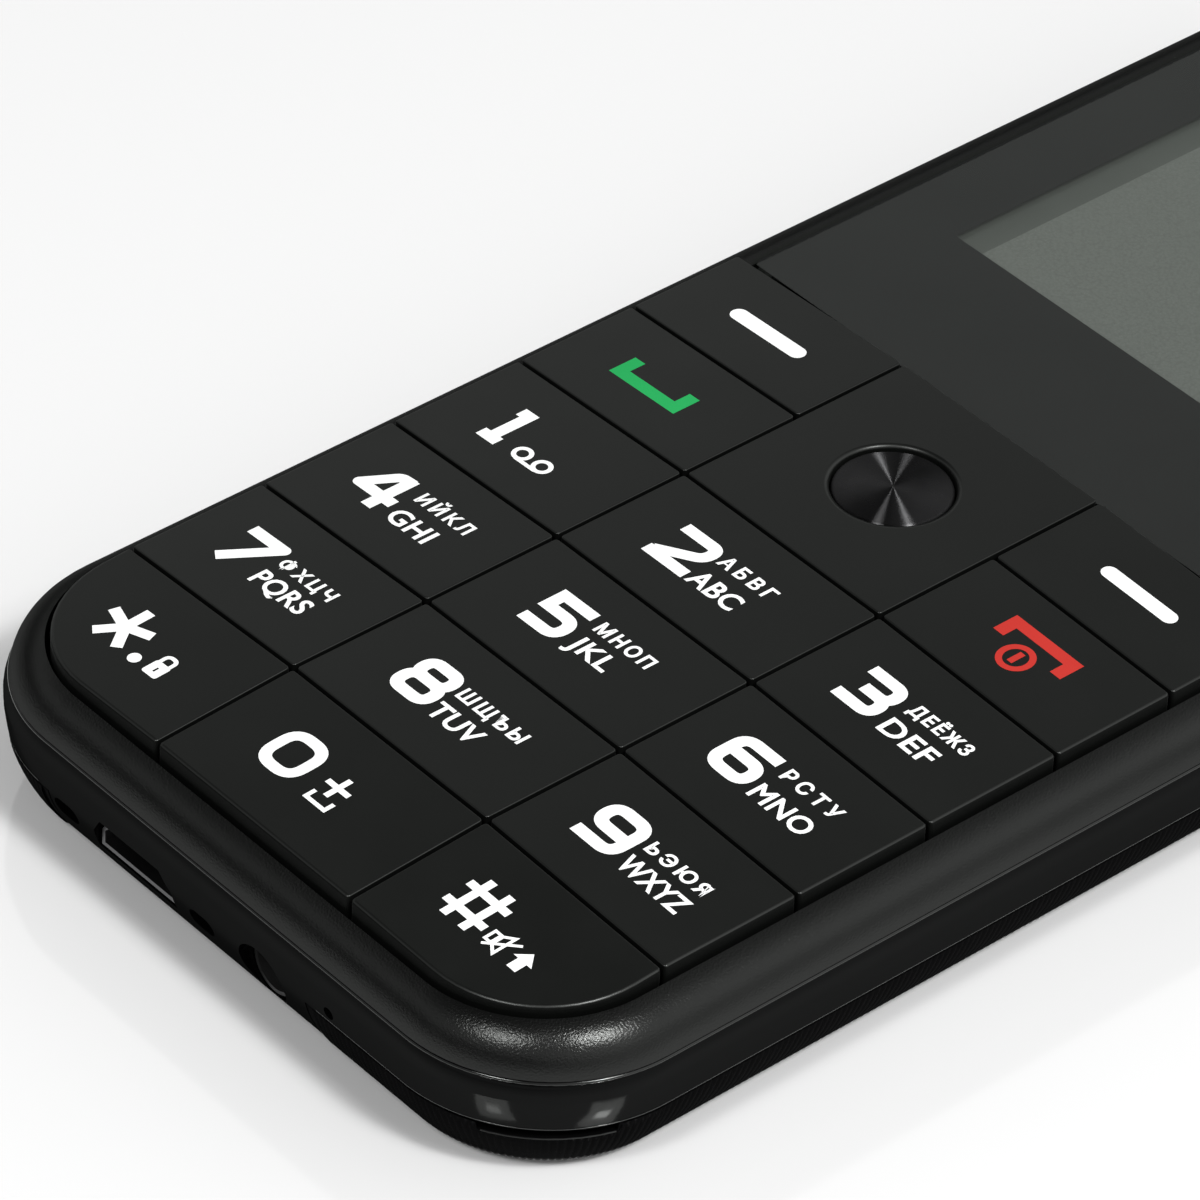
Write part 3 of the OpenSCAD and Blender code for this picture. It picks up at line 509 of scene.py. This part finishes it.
def turned(name, y, profile, mat, body):
    """Piece turned about a line at x = 0, from rows of radius, height and the tilt of the normal."""
    arc = circle(TURNED_SIDES)
    verts, normals = [], []
    for r, z, tilt in profile:
        c, s = polar(tilt)
        verts += [(r * a, y + r * b, z) for a, b in arc]
        normals += [(c * a, c * b, s) for a, b in arc]
    faces = belts(0, len(profile) - 1, TURNED_SIDES)
    return mesh_object(name, verts, faces, mat, body, normals)


def ok_disc():
    """Centre key: a low crown with turned grooves and a soft edge, over a straight shank."""
    shank, crown_r, crown_z, crown_fall = 4.08, 3.8, 13.0, 90
    edge_z, edge_w, edge_h = 12.65, 0.28, 0.2
    rows = [(0.02, CAP_Z, -90), (shank, CAP_Z, -90), (shank, CAP_Z, 0)]
    for turn in range(0, 86, 6):
        c, s = polar(turn)
        rows.append((crown_r + edge_w * c, edge_z + edge_h * s, turn))
    for r in (3.7, 3.4, 3.0, 2.5, 2.0, 1.4, 0.8, 0.3, 0.02):
        rows.append((r, crown_z - r * r / crown_fall, 90 - math.degrees(2 * r / crown_fall)))
    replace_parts(turned("ok_key_disc", OK_Y, rows, ok_mat, "ok_key"), "ok_key")


ok_disc()

# marks printed on the keys
INK_LIFT, INK_STEP = 0.012, 0.0015
STROKE, ZERO_STROKE = 0.94, 0.84
FONT_CAPITAL = 0.7  # height of the font's capitals at size 1
DOT_SIDES, LOOP_SIDES, BEND_STEPS = 28, 36, 8
BEND_SHARE = 0.49  # most of a line's length that a rounded corner may take
MITRE_LIMIT = 0.4


def rounded_path(points, radius, closed):
    """Polyline with its corners rounded; a point may carry a radius of its own."""
    pts = [Vector(p[:2]) for p in points]
    n = len(pts)
    out = []
    for k in range(n):
        r = points[k][2] if len(points[k]) > 2 else radius
        if r == 0 or (not closed and k in (0, n - 1)):
            out.append(pts[k])
            continue
        a, b, c = pts[k - 1], pts[k], pts[(k + 1) % n]
        u, v = (a - b), (c - b)
        cut = min(r, u.length * BEND_SHARE, v.length * BEND_SHARE)
        p, q = b + u.normalized() * cut, b + v.normalized() * cut
        for s in range(BEND_STEPS + 1):
            t = s / BEND_STEPS
            out.append((1 - t) ** 2 * p + 2 * t * (1 - t) * b + t * t * q)
    return out


def ribbon(points, width, radius=0.0, closed=False):
    """Flat stroke of one width along a path, as quads."""
    path = rounded_path(points, radius, closed)
    n = len(path)
    left, right = [], []
    for k in range(n):
        before = path[k] - path[k - 1] if (k or closed) else path[1] - path[0]
        after = path[(k + 1) % n] - path[k] if (k < n - 1 or closed) else path[k] - path[k - 1]
        before, after = before.normalized(), after.normalized()
        d = (before + after).normalized()
        side = Vector((-d.y, d.x))
        grow = 1 / max(MITRE_LIMIT, side.dot(Vector((-before.y, before.x))))
        left.append(path[k] + side * width / 2 * grow)
        right.append(path[k] - side * width / 2 * grow)
    quads = []
    for k in range(n if closed else n - 1):
        j = (k + 1) % n
        quads.append([right[k], right[j], left[j], left[k]])
    return quads


def disc(x, y, r):
    """Round dot."""
    return [[Vector((x + r * a, y + r * b)) for a, b in circle(DOT_SIDES)]]


def loop_of(x, y, rx, ry, width):
    """Ring of one stroke width, round or oval."""
    return ribbon([(x + rx * a, y + ry * b) for a, b in circle(LOOP_SIDES)], width, 0.0, True)


def panel(x0, y0, x1, y1, radii):
    """Rounded rectangle as one flat shape."""
    steps = [max(1, round(3 + r)) for r in radii]
    return [Vector((x, y)) for x, y, d in ring(x0, y0, x1, y1, radii, steps)]


def bar(x0, x1, y, width):
    """Round-ended bar."""
    h = width / 2
    return [ribbon([(x0 + h, y), (x1 - h, y)], width), disc(x0 + h, y, h), disc(x1 - h, y, h)]


def border_loops(mesh):
    """Closed loops of point numbers along the open edges of a flat mesh."""
    count = {}
    for p in mesh.polygons:
        for edge in p.edge_keys:
            count[edge] = count.get(edge, 0) + 1
    follow = {}
    for a, b in (e for e in count if count[e] == 1):
        follow.setdefault(a, []).append(b)
        follow.setdefault(b, []).append(a)
    loops = []
    while follow:
        start = next(iter(follow))
        loop, at = [start], start
        while follow.get(at):
            step = follow[at].pop()
            follow[step].remove(at)
            if not follow[at]:
                del follow[at]
            at = step
            if at != start:
                loop.append(at)
        follow.pop(start, None)
        if len(loop) > 2:
            loops.append(loop)
    return loops


def letters(text, x0, y0, width, height, spread=1.05, weight=0.1):
    """Plain letters fitted to a box, as flat faces and as a border that makes the strokes heavier."""
    curve = bpy.data.curves.new("letters", "FONT")
    curve.body = text
    curve.space_character = spread
    curve.resolution_u = 4
    obj = bpy.data.objects.new("letters", curve)
    scene.collection.objects.link(obj)
    made = obj.evaluated_get(bpy.context.evaluated_depsgraph_get()).to_mesh()
    co = [v.co.to_2d() for v in made.vertices]
    low = min(p.x for p in co)
    grow = Vector(((width - weight) / (max(p.x for p in co) - low), (height - weight) / FONT_CAPITAL))
    co = [Vector((x0 + weight / 2 + (p.x - low) * grow.x, y0 + weight / 2 + p.y * grow.y)) for p in co]
    fill = [[co[k] for k in p.vertices] for p in made.polygons]
    border = []
    for loop in border_loops(made):
        border += ribbon([co[k] for k in loop], weight, 0.0, True)
    bpy.data.objects.remove(obj)
    bpy.data.curves.remove(curve)
    return [fill, border]


def print_on(name, layers, low=False, mat=ink_white):
    """Thin ink on a key top, from layers of flat outlines; each layer lies a trace higher than the last."""
    verts, faces, normals = [], [], []
    for level, shapes in enumerate(layers):
        for shape in shapes:
            first = len(verts)
            turn = sum((shape[k] - shape[0]).cross(shape[k + 1] - shape[0]) for k in range(1, len(shape) - 1))
            for p in shape if turn > 0 else shape[::-1]:
                verts.append((p.x, p.y, top_z(p.x, p.y, low) + INK_LIFT + INK_STEP * level))
                normals.append(tuple(top_normal(p.x, low)))
            faces.append(tuple(range(first, len(verts))))
    mesh_object(name + "_mark", verts, faces, mat, name, normals)


def boxed(strokes, x0, x1, y0, y1, width):
    """Strokes and round ends drawn in a unit box, fitted so that their outsides fill a box in millimetres."""
    h = width / 2

    def fit(u, v, *rest):
        """A point of the unit box in millimetres; a radius after it stays."""
        return (x0 + h + (x1 - x0 - width) * u, y0 + h + (y1 - y0 - width) * v, *rest)

    layers = []
    for stroke in strokes:
        if len(stroke) == 2:
            layers.append(disc(*fit(*stroke), h))
        else:
            points, radius, closed = stroke
            layers.append(ribbon([fit(*p) for p in points], width, radius, closed))
    return layers


# each digit's strokes in a unit box: points, corner radius and whether it closes; a pair alone is a round end
DIGITS = {
    "0": [([(0, 0), (1, 0), (1, 1), (0, 1)], 1.25, True)],
    "1": [([(-0.3, 1), (0.62, 1), (0.62, 0)], 0.0, False), ([(-0.4, 0), (1.5, 0)], 0.0, False)],
    "2": [([(-0.14, 1), (1, 1, 1.0), (1, 0.6, 1.0), (-0.02, 0.06)], 0.8, False),
          ([(-0.16, 0), (1.16, 0)], 0.0, False)],
    "3": [([(-0.14, 1), (1, 1), (1, 0.5), (0.2, 0.5)], 0.95, False),
          ([(0.2, 0.5), (1, 0.5), (1, 0), (-0.14, 0)], 0.95, False)],
    "4": [([(0.86, 1.02), (0.5, 1.0), (0.0, 0.3)], 0.3, False), ([(0.0, 0.3), (1.16, 0.3)], 0.0, False),
          ([(0.78, 1.14), (0.78, -0.14)], 0.0, False), (0.0, 0.3)],
    "5": [([(1.12, 1), (0, 1, 0), (0, 0.56, 0), (1, 0.56), (1, 0), (-0.14, 0)], 0.95, False)],
    "6": [([(1.1, 1), (0, 1), (0, 0), (1, 0), (1, 0.56), (0, 0.56)], 1.0, False)],
    "7": [([(-0.1, 1), (0.97, 1)], 0.0, False), ([(0.97, 1), (0.12, -0.1)], 0.0, False), (0.97, 1)],
    "8": [([(0, 0), (1, 0), (1, 0.53), (0, 0.53)], 0.85, True),
          ([(0.04, 0.53), (0.96, 0.53), (0.96, 1), (0.04, 1)], 0.8, True)],
    "9": [([(-0.1, 0), (1, 0), (1, 1), (0, 1), (0, 0.44), (1, 0.44)], 1.0, False)],
}
# each digit's box: left, right, low, high
MARKS = {
    "key_1": ("1", -21.7, -19.85, -29.75, -25.4), "key_2": ("2", -5.1, -1.25, -29.65, -25.4),
    "key_3": ("3", 13.1, 16.7, -29.65, -25.5), "key_4": ("4", -22.75, -18.85, -40.5, -36.25),
    "key_5": ("5", -4.85, -1.25, -40.5, -36.25), "key_6": ("6", 12.95, 16.75, -40.5, -36.35),
    "key_7": ("7", -22.8, -18.85, -51.5, -47.25), "key_8": ("8", -5.0, -1.25, -51.4, -47.1),
    "key_9": ("9", 13.05, 16.9, -51.4, -47.1), "key_0": ("0", -4.85, -1.05, -62.3, -58.2),
}
# each word's left, low, width and height, and the spread of its letters
WORDS = {
    "key_2": [("АБВГ", -0.95, -26.85, 4.95, 1.2, 1.45), ("ABC", -0.95, -29.6, 4.25, 1.72)],
    "key_3": [("ДЕЁЖЗ", 17.5, -27.05, 5.4, 1.15, 1.25), ("DEF", 17.5, -29.7, 4.5, 1.72)],
    "key_4": [("ИЙКЛ", -18.4, -37.75, 5.05, 1.2, 1.35), ("GHI", -18.2, -40.45, 3.85, 1.68)],
    "key_5": [("МНОП", -0.65, -37.65, 5.1, 1.2, 1.3), ("JKL", -0.6, -40.05, 3.65, 1.68)],
    "key_6": [("РСТУ", 17.35, -37.75, 5.05, 1.2, 1.5), ("MNO", 17.3, -40.45, 5.05, 1.68)],
    "key_7": [("ФХЦЧ", -18.6, -49.1, 5.2, 1.15, 1.35), ("PQRS", -18.6, -51.45, 5.05, 1.68)],
    "key_8": [("ШЩЪЫ", -0.95, -48.85, 6.1, 1.2, 1.25), ("TUV", -0.95, -51.35, 4.3, 1.68)],
    "key_9": [("ЬЭЮЯ", 17.4, -49.0, 5.45, 1.15, 1.35), ("WXYZ", 17.4, -51.4, 5.65, 1.68)],
}


def message_sign():
    """Two reels on a tape."""
    y, reels = -28.9, (-17.8, -15.85)
    return [ribbon([(x, y - 0.65) for x in reels], 0.32)] + [loop_of(x, y, 0.6, 0.6, 0.34) for x in reels]


def plus_and_space():
    """Plus sign over a space sign."""
    x, y, arm = 1.35, -60.15, 1.05
    return [ribbon([(x - arm, y), (x + arm, y)], 0.44), ribbon([(x, y + arm), (x, y - arm)], 0.44),
            ribbon([(0.55, -61.3), (0.55, -62.1), (2.35, -62.1), (2.35, -61.3)], 0.32)]


def star_and_dot():
    """Star of five arms, and a dot."""
    x, y, arm = -19.85, -60.35, 2.1
    layers = []
    for k in range(5):
        c, s = polar(90 + 72 * k)
        layers.append(ribbon([(x, y), (x + arm * c, y + arm * s)], 0.82))
    return layers + [disc(x, y, 0.55), disc(-17.0, -61.85, 0.48)]


def lock_sign():
    """Padlock with a keyhole."""
    left, right, low, high = -15.83, -14.45, -62.28, -60.85
    hole_left, hole_right, hole_low, hole_high = -15.22, -15.06, -61.82, -61.36
    body = [panel(left, low, hole_left, high, [0.2, 0, 0, 0.2]),
            panel(hole_right, low, right, high, [0, 0.2, 0.2, 0]),
            panel(hole_left, low, hole_right, hole_low, [0] * 4),
            panel(hole_left, hole_high, hole_right, high, [0] * 4)]
    shackle = [(-15.6, -61.0), (-15.6, -60.12), (-14.68, -60.12), (-14.68, -61.0)]
    return [body, ribbon(shackle, 0.3, 0.42)]


def hash_sign():
    """Two upright and two level bars."""
    bars = [ribbon([(x, -58.2), (x, -62.35)], 0.62) for x in (14.12, 15.85)]
    return bars + [ribbon([(13.1, y), (16.85, y)], 0.62) for y in (-59.35, -61.25)]


def mute_and_shift():
    """Crossed-out loudspeaker, and an upward arrow."""
    line = 0.22
    box = [(17.42, -60.85), (17.42, -61.75), (17.95, -61.75), (17.95, -60.85)]
    horn = [(18.1, -60.85), (18.75, -60.35), (18.75, -62.25), (18.1, -61.75)]
    shaft = [(20.05, -62.25), (20.85, -62.25), (20.85, -61.3), (20.05, -61.3)]
    tip = [(19.62, -61.3), (21.28, -61.3), (20.45, -60.35)]
    arrow = [[Vector(p) for p in part] for part in (shaft, tip)]
    return [ribbon(box, line, 0.0, True), ribbon(horn, line, 0.0, True),
            ribbon([(17.6, -62.2), (19.5, -60.45)], line), arrow]


def call_sign():
    """Handset that lies open upwards."""
    return [ribbon([(-20.9, -15.95), (-20.9, -17.8), (-15.4, -17.8), (-15.4, -15.95)], 1.0)]


def end_sign():
    """Handset that lies open downwards, over a power sign."""
    x = 17.85
    return [ribbon([(15.28, -17.0), (15.28, -15.35), (20.6, -15.35), (20.6, -17.0)], 0.95),
            loop_of(x, -17.85, 1.06, 1.16, 0.46), ribbon([(x, -17.2), (x, -18.45)], 0.46)]


for name, (digit, *box) in MARKS.items():
    layers = boxed(DIGITS[digit], *box, ZERO_STROKE if digit == "0" else STROKE)
    for word in WORDS.get(name, []):
        layers += letters(*word)
    if name == "key_1":
        layers += message_sign()
    if name == "key_0":
        layers += plus_and_space()
    print_on(name, layers, name == "key_0")
print_on("key_star", star_and_dot() + lock_sign(), True)
print_on("key_hash", hash_sign() + mute_and_shift(), True)
print_on("soft_key_left", bar(-21.4, -14.3, -7.25, 1.3))
print_on("soft_key_right", bar(14.65, 21.4, -7.08, 1.2))
print_on("call_key", call_sign(), mat=ink_green)
print_on("end_key", end_sign(), mat=ink_red)

# layers under the lens
WINDOW = (-18.8, 10.9, 18.8, 60.0)
PRINT_BOX, PRINT_CORNERS = (-24.95, -2.2, 24.95, 64.9), [0.6, 0.6, 8.55, 8.55]
EAR_SLOT = (-5.1, 62.74, 5.1, 64.04)
CELL_INSET_X, CELL_INSET_Y = 1.74, 0.78
PRINT_LIFT, CELL_DROP = 0.9, 0.02  # from the underside of the lens


def encloses(loop, p):
    """Whether a closed loop of flat points goes round a point."""
    odd = False
    for k in range(len(loop)):
        a, b = loop[k - 1], loop[k]
        if (a.y > p.y) != (b.y > p.y) and p.x < a.x + (b.x - a.x) * (p.y - a.y) / (b.y - a.y):
            odd = not odd
    return odd


def sheet(name, outer, openings, z, mat):
    """Flat sheet inside an outline, with openings."""
    pts, faces = triangles([outer] + openings, [], lambda p: not any(encloses(loop, p) for loop in openings))
    mesh_object(name, [(p.x, p.y, z) for p in pts], faces, mat, "phone")


def lens_layers():
    """Printed mask with its window and its slot for the earpiece, and the display's cells below it."""
    lens_low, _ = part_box("display_lens")
    under = lens_low.z / MM
    x0, y0, x1, y1 = WINDOW
    sheet("display_print", panel(*PRINT_BOX, PRINT_CORNERS),
          [panel(*WINDOW, [0.1] * 4), panel(*EAR_SLOT, [0.6] * 4)], under + PRINT_LIFT, print_mat)
    cells = panel(x0 + CELL_INSET_X, y0 + CELL_INSET_Y, x1 - CELL_INSET_X, y1 - CELL_INSET_Y, [0.1] * 4)
    sheet("display_cells", cells, [], under - CELL_DROP, lcd_mat)


lens_layers()

# ribs and soft edges round the housing
RIB_PITCH, RIB_STEPS, RIB_ROWS = 0.54, 8, 16
RIB_LIFT, RIB_HEIGHT, RIB_SHAPE = 0.012, 0.085, 0.7
RIB_TOP, RIB_TOP_AT_SLOT = 4.4, 3.65
PORT_LEFT, PORT_RIGHT, PORT_DEPTH = -18.2, 9.0, 3
SLOT_FROM, SLOT_TO = 298, 344  # degrees round the lower right corner
LIP_STEP = 0.6


def outline(step):
    """Points along the body outline with their outward directions, counter-clockwise from the right side."""
    cx, cy = BODY_HW - CORNER_R, -Y_BOT - CORNER_R
    path = []

    def run(a, b, d):
        """Straight side."""
        a, b = Vector(a), Vector(b)
        n = max(1, round((b - a).length / step))
        for k in range(n):
            path.append((a + (b - a) * k / n, Vector(d)))

    def turn(c, start):
        """Round corner."""
        n = round(CORNER_R * math.pi / 2 / step)
        for k in range(n):
            path.append((Vector(c), Vector(polar(start + 90 * k / n))))

    run((cx, -cy), (cx, cy), (1, 0))
    turn((cx, cy), 0)
    run((cx, cy), (-cx, cy), (0, 1))
    turn((-cx, cy), 90)
    run((-cx, cy), (-cx, -cy), (-1, 0))
    turn((-cx, -cy), 180)
    run((-cx, -cy), (cx, -cy), (0, -1))
    turn((cx, -cy), 270)
    return path


def under_section(t, top):
    """Point and tilt on the outside of the cover's edge, from its upper line, t = 0, to the back, t = 1."""
    if t < SIDE_SHARE:
        z = top + (FOOT_Z - top) * t / SIDE_SHARE
        s = (z - BULGE_Z) / BULGE_R
        return CORNER_R - BULGE_R + BULGE_R * math.sqrt(1 - s * s), z, math.asin(s)
    a = math.radians(FOOT_START + (FOOT_END - FOOT_START) * (t - SIDE_SHARE) / (1 - SIDE_SHARE))
    return FOOT_RHO + FOOT_R * math.cos(a), FOOT_R + FOOT_R * math.sin(a), a


def sweep(name, path, section, mat, body, keep=None):
    """Skin along the outline; section gives the distance and height of each row at a place."""
    verts, faces = [], []
    rows = [section(i, c, d) for i, (c, d) in enumerate(path)]
    m, n = len(rows[0]), len(path)
    for (c, d), row in zip(path, rows):
        for rho, z in row:
            q = c + d * rho
            verts.append((q.x, q.y, z))
    for i in range(n):
        j = (i + 1) % n
        if keep is None or (keep(*path[i]) and keep(*path[j])):
            for k in range(m - 1):
                faces.append((i * m + k, i * m + k + 1, j * m + k + 1, j * m + k))
    mesh_object(name, verts, faces, mat, body)


def clear_of_ports(c, d):
    """Whether a place on the outline lies outside the block with the sockets."""
    p = c + d * CORNER_R
    return not (p.y < Y_BOT + PORT_DEPTH and PORT_LEFT < p.x < PORT_RIGHT)


def in_slot(c, d):
    """Whether a place on the outline lies at the pry slot."""
    return c.x > 0 and c.y < 0 and SLOT_FROM < math.degrees(math.atan2(d.y, d.x)) % 360 < SLOT_TO


def rib_band():
    """Fine upright ribs round the edge of the battery cover, clear of the sockets and of the pry slot."""

    def section(i, c, d):
        """Rib or groove at a place on the outline."""
        crest = abs(math.sin(math.pi * (i % RIB_STEPS) / RIB_STEPS)) ** RIB_SHAPE
        top = RIB_TOP_AT_SLOT if in_slot(c, d) else RIB_TOP
        row = []
        for k in range(RIB_ROWS + 1):
            rho, z, tilt = under_section(k / RIB_ROWS, top)
            lift = RIB_LIFT + (0.0 if k in (0, RIB_ROWS) else RIB_HEIGHT * crest)
            row.append((rho + lift * math.cos(tilt), max(0.0, z + lift * math.sin(tilt))))
        return row

    path = outline(RIB_PITCH / RIB_STEPS)
    sweep("cover_ribs", path, section, cover_mat, "battery_cover", clear_of_ports)


def edge_lip(name, rho, z, r, angles, body, keep=None):
    """Soft edge along the outline: an arc of the section about one place, in a glossier copy of the band
    plastic; the rounding is real, its extra sheen over the band's is painted highlight.
    """
    row = [(rho + r * c, z + r * s) for c, s in map(polar, angles)]
    sweep(name, outline(LIP_STEP), lambda i, c, d: row, glint_lip_mat, body, keep)


def camera_details():
    """Printed ring and metal ring behind the window, and the eye of the camera in its cone."""
    y = 50.17
    mask = [(2.7, 0.532, -90), (4.25, 0.53, -90)]
    bead = [(4.2, 0.534, -90), (4.3, 0.515, -70), (4.75, 0.512, -110), (4.9, 0.534, -90)]
    eye_r, eye_z, eye_h = 1.06, 1.88, 0.36
    dome = []
    for turn in range(89, 0, -8):
        c, s = polar(turn)
        dome.append((eye_r * s, eye_z - eye_h * c, turn - 90))
    turned("camera_print", y, mask, print_mat, "battery_cover")
    turned("camera_ring", y, bead, steel_mat, "battery_cover")
    turned("camera_eye", y, dome, eye_mat, "phone")


# each soft edge's distance, height and radius, and the angles of its arc
edge_lip("band_lip", 11.26, 8.24, 0.15, range(100, -31, -10), "phone")
edge_lip("band_lower_lip", 11.342, 4.686, 0.12, range(0, -101, -10), "phone", clear_of_ports)
edge_lip("slot_lip", 11.08, 3.61, 0.12, range(100, -1, -10), "battery_cover", in_slot)
rib_band()
camera_details()

# floor, light and camera, in metres and degrees
FLOOR_HALF, FLOOR_Z = 3.0, -0.0003
FLOOR_COLOUR, FLOOR_IOR, FLOOR_ROUGH = (0.86, 0.86, 0.86, 1), 2.6, (0.078, 0.092)
# fades of the room light: from, to, and the light at these
WALL_RISE = (0.2, 0.42, 0.03, 1.0)
CEILING_FALL = (0.48, 0.80, 0.67, 0.02)
RIGHT_GLOW = (0.2, 0.9, 0.0, 0.74)
FLOOR_LINE = (0.01, 0.06, 0.78, 0.0)
RIGHT_WAY = (0.81, 0.51, 0.3)
LAMP_AIM = Vector((0, -0.05, 0))
LAMP_FAR, LAMP_SIZE = 0.9, (0.23, 0.24)
CORE_FAR, CORE_SIZE = 0.89, (0.09, 0.09)
# each lamp's azimuth and height, its radiance and that of its core
LAMPS = {"softbox_left": (18, 51, 15.5, 30.0), "softbox_right": (91, 53, 21.5, 92.0)}
VIEW_AIM = Vector((-2.835, -35.26, 13.0)) * MM
VIEW_AZ, VIEW_EL, VIEW_ROLL = 47.5077, 38.4337, 2.8591
VIEW_FAR, VIEW_RIGHT, VIEW_UP = 0.5002, 0.000135, -0.000013
VIEW_LENS, VIEW_SENSOR = 234.01, 36.0


def direction(az, el):
    """Direction from the phone to a place at an azimuth and a height."""
    a, e = math.radians(az), math.radians(el)
    return Vector((math.sin(a) * math.cos(e), -math.cos(a) * math.cos(e), math.sin(e)))


def stage():
    """Plain pale floor with a slight gloss."""
    data = bpy.data.meshes.new("floor")
    corners = [(-1, -1), (1, -1), (1, 1), (-1, 1)]
    data.from_pydata([(x * FLOOR_HALF, y * FLOOR_HALF, FLOOR_Z) for x, y in corners], [], [(0, 1, 2, 3)])
    floor = bpy.data.objects.new("floor", data)
    scene.collection.objects.link(floor)
    m = Nodes("floor_white")
    m.bsdf.inputs["Base Color"].default_value = FLOOR_COLOUR
    m.bsdf.inputs["IOR"].default_value = FLOOR_IOR
    m.link(m.ramp(m.noise(12.0), *FLOOR_ROUGH), m.bsdf.inputs["Roughness"])
    data.materials.append(m.mat)
    floor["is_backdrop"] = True


def studio_world():
    """Room light: pale walls under a dark ceiling, more light on the right, and a pale line at the floor."""
    world = bpy.data.worlds.new("studio")
    scene.world = world
    world.use_nodes = True
    tree = world.node_tree
    back = tree.nodes["Background"]
    back.inputs["Color"].default_value = (1, 1, 1, 1)
    way = tree.nodes.new("ShaderNodeTexCoord").outputs["Generated"]
    axes = tree.nodes.new("ShaderNodeSeparateXYZ")
    tree.links.new(way, axes.inputs["Vector"])
    height = axes.outputs["Z"]
    side = tree.nodes.new("ShaderNodeVectorMath")
    side.operation = "DOT_PRODUCT"
    side.inputs[1].default_value = RIGHT_WAY
    tree.links.new(way, side.inputs[0])

    def fade(value, a, b, low, high, soft=False):
        """A map from low to high while value goes from a to b."""
        node = tree.nodes.new("ShaderNodeMapRange")
        node.interpolation_type = "SMOOTHSTEP" if soft else "LINEAR"
        for key, number in (("From Min", a), ("From Max", b), ("To Min", low), ("To Max", high)):
            node.inputs[key].default_value = number
        tree.links.new(value, node.inputs["Value"])
        return node

    def join(kind, a, b):
        """The sum or product of two maps."""
        node = tree.nodes.new("ShaderNodeMath")
        node.operation = kind
        tree.links.new(a, node.inputs[0])
        tree.links.new(b, node.inputs[1])
        return node.outputs[0]

    rise = fade(height, *WALL_RISE, True).outputs["Result"]
    fall = fade(height, *CEILING_FALL).outputs["Result"]
    right = fade(side.outputs["Value"], *RIGHT_GLOW).outputs["Result"]
    room = join("ADD", join("MULTIPLY", rise, fall), right)
    floor_line = fade(height, *FLOOR_LINE, True)
    tree.links.new(room, floor_line.inputs["To Max"])
    tree.links.new(floor_line.outputs["Result"], back.inputs["Strength"])


def softbox(name, az, el, far, size, radiance):
    """Rectangular lamp that faces the phone."""
    data = bpy.data.lights.new(name, "AREA")
    data.shape = "RECTANGLE"
    data.size, data.size_y = size
    data.energy = radiance * math.pi * size[0] * size[1]
    obj = bpy.data.objects.new(name, data)
    d = direction(az, el)
    obj.location = LAMP_AIM + d * far
    obj.rotation_euler = d.to_track_quat("Z", "Y").to_euler()
    scene.collection.objects.link(obj)


def photo_camera():
    """Camera at the photograph's viewing angle."""
    az, roll = math.radians(VIEW_AZ), math.radians(VIEW_ROLL)
    back = direction(VIEW_AZ, VIEW_EL)
    right = Vector((math.cos(az), math.sin(az), 0))
    up = back.cross(right)
    c, s = math.cos(roll), math.sin(roll)
    right, up = right * c + up * s, up * c - right * s
    data = bpy.data.cameras.new("photo_camera")
    data.sensor_width = VIEW_SENSOR
    data.lens = VIEW_LENS
    data.clip_start, data.clip_end = 0.01, 20.0
    cam = bpy.data.objects.new("photo_camera", data)
    place = VIEW_AIM + back * VIEW_FAR + right * VIEW_RIGHT + up * VIEW_UP
    turn = Matrix((right, up, back)).transposed().to_4x4()
    cam.matrix_world = Matrix.Translation(place) @ turn
    scene.collection.objects.link(cam)
    scene.camera = cam


stage()
studio_world()
for name, (az, el, radiance, core) in LAMPS.items():
    softbox(name, az, el, LAMP_FAR, LAMP_SIZE, radiance)
    softbox(name + "_core", az, el, CORE_FAR, CORE_SIZE, core)
photo_camera()
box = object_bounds()
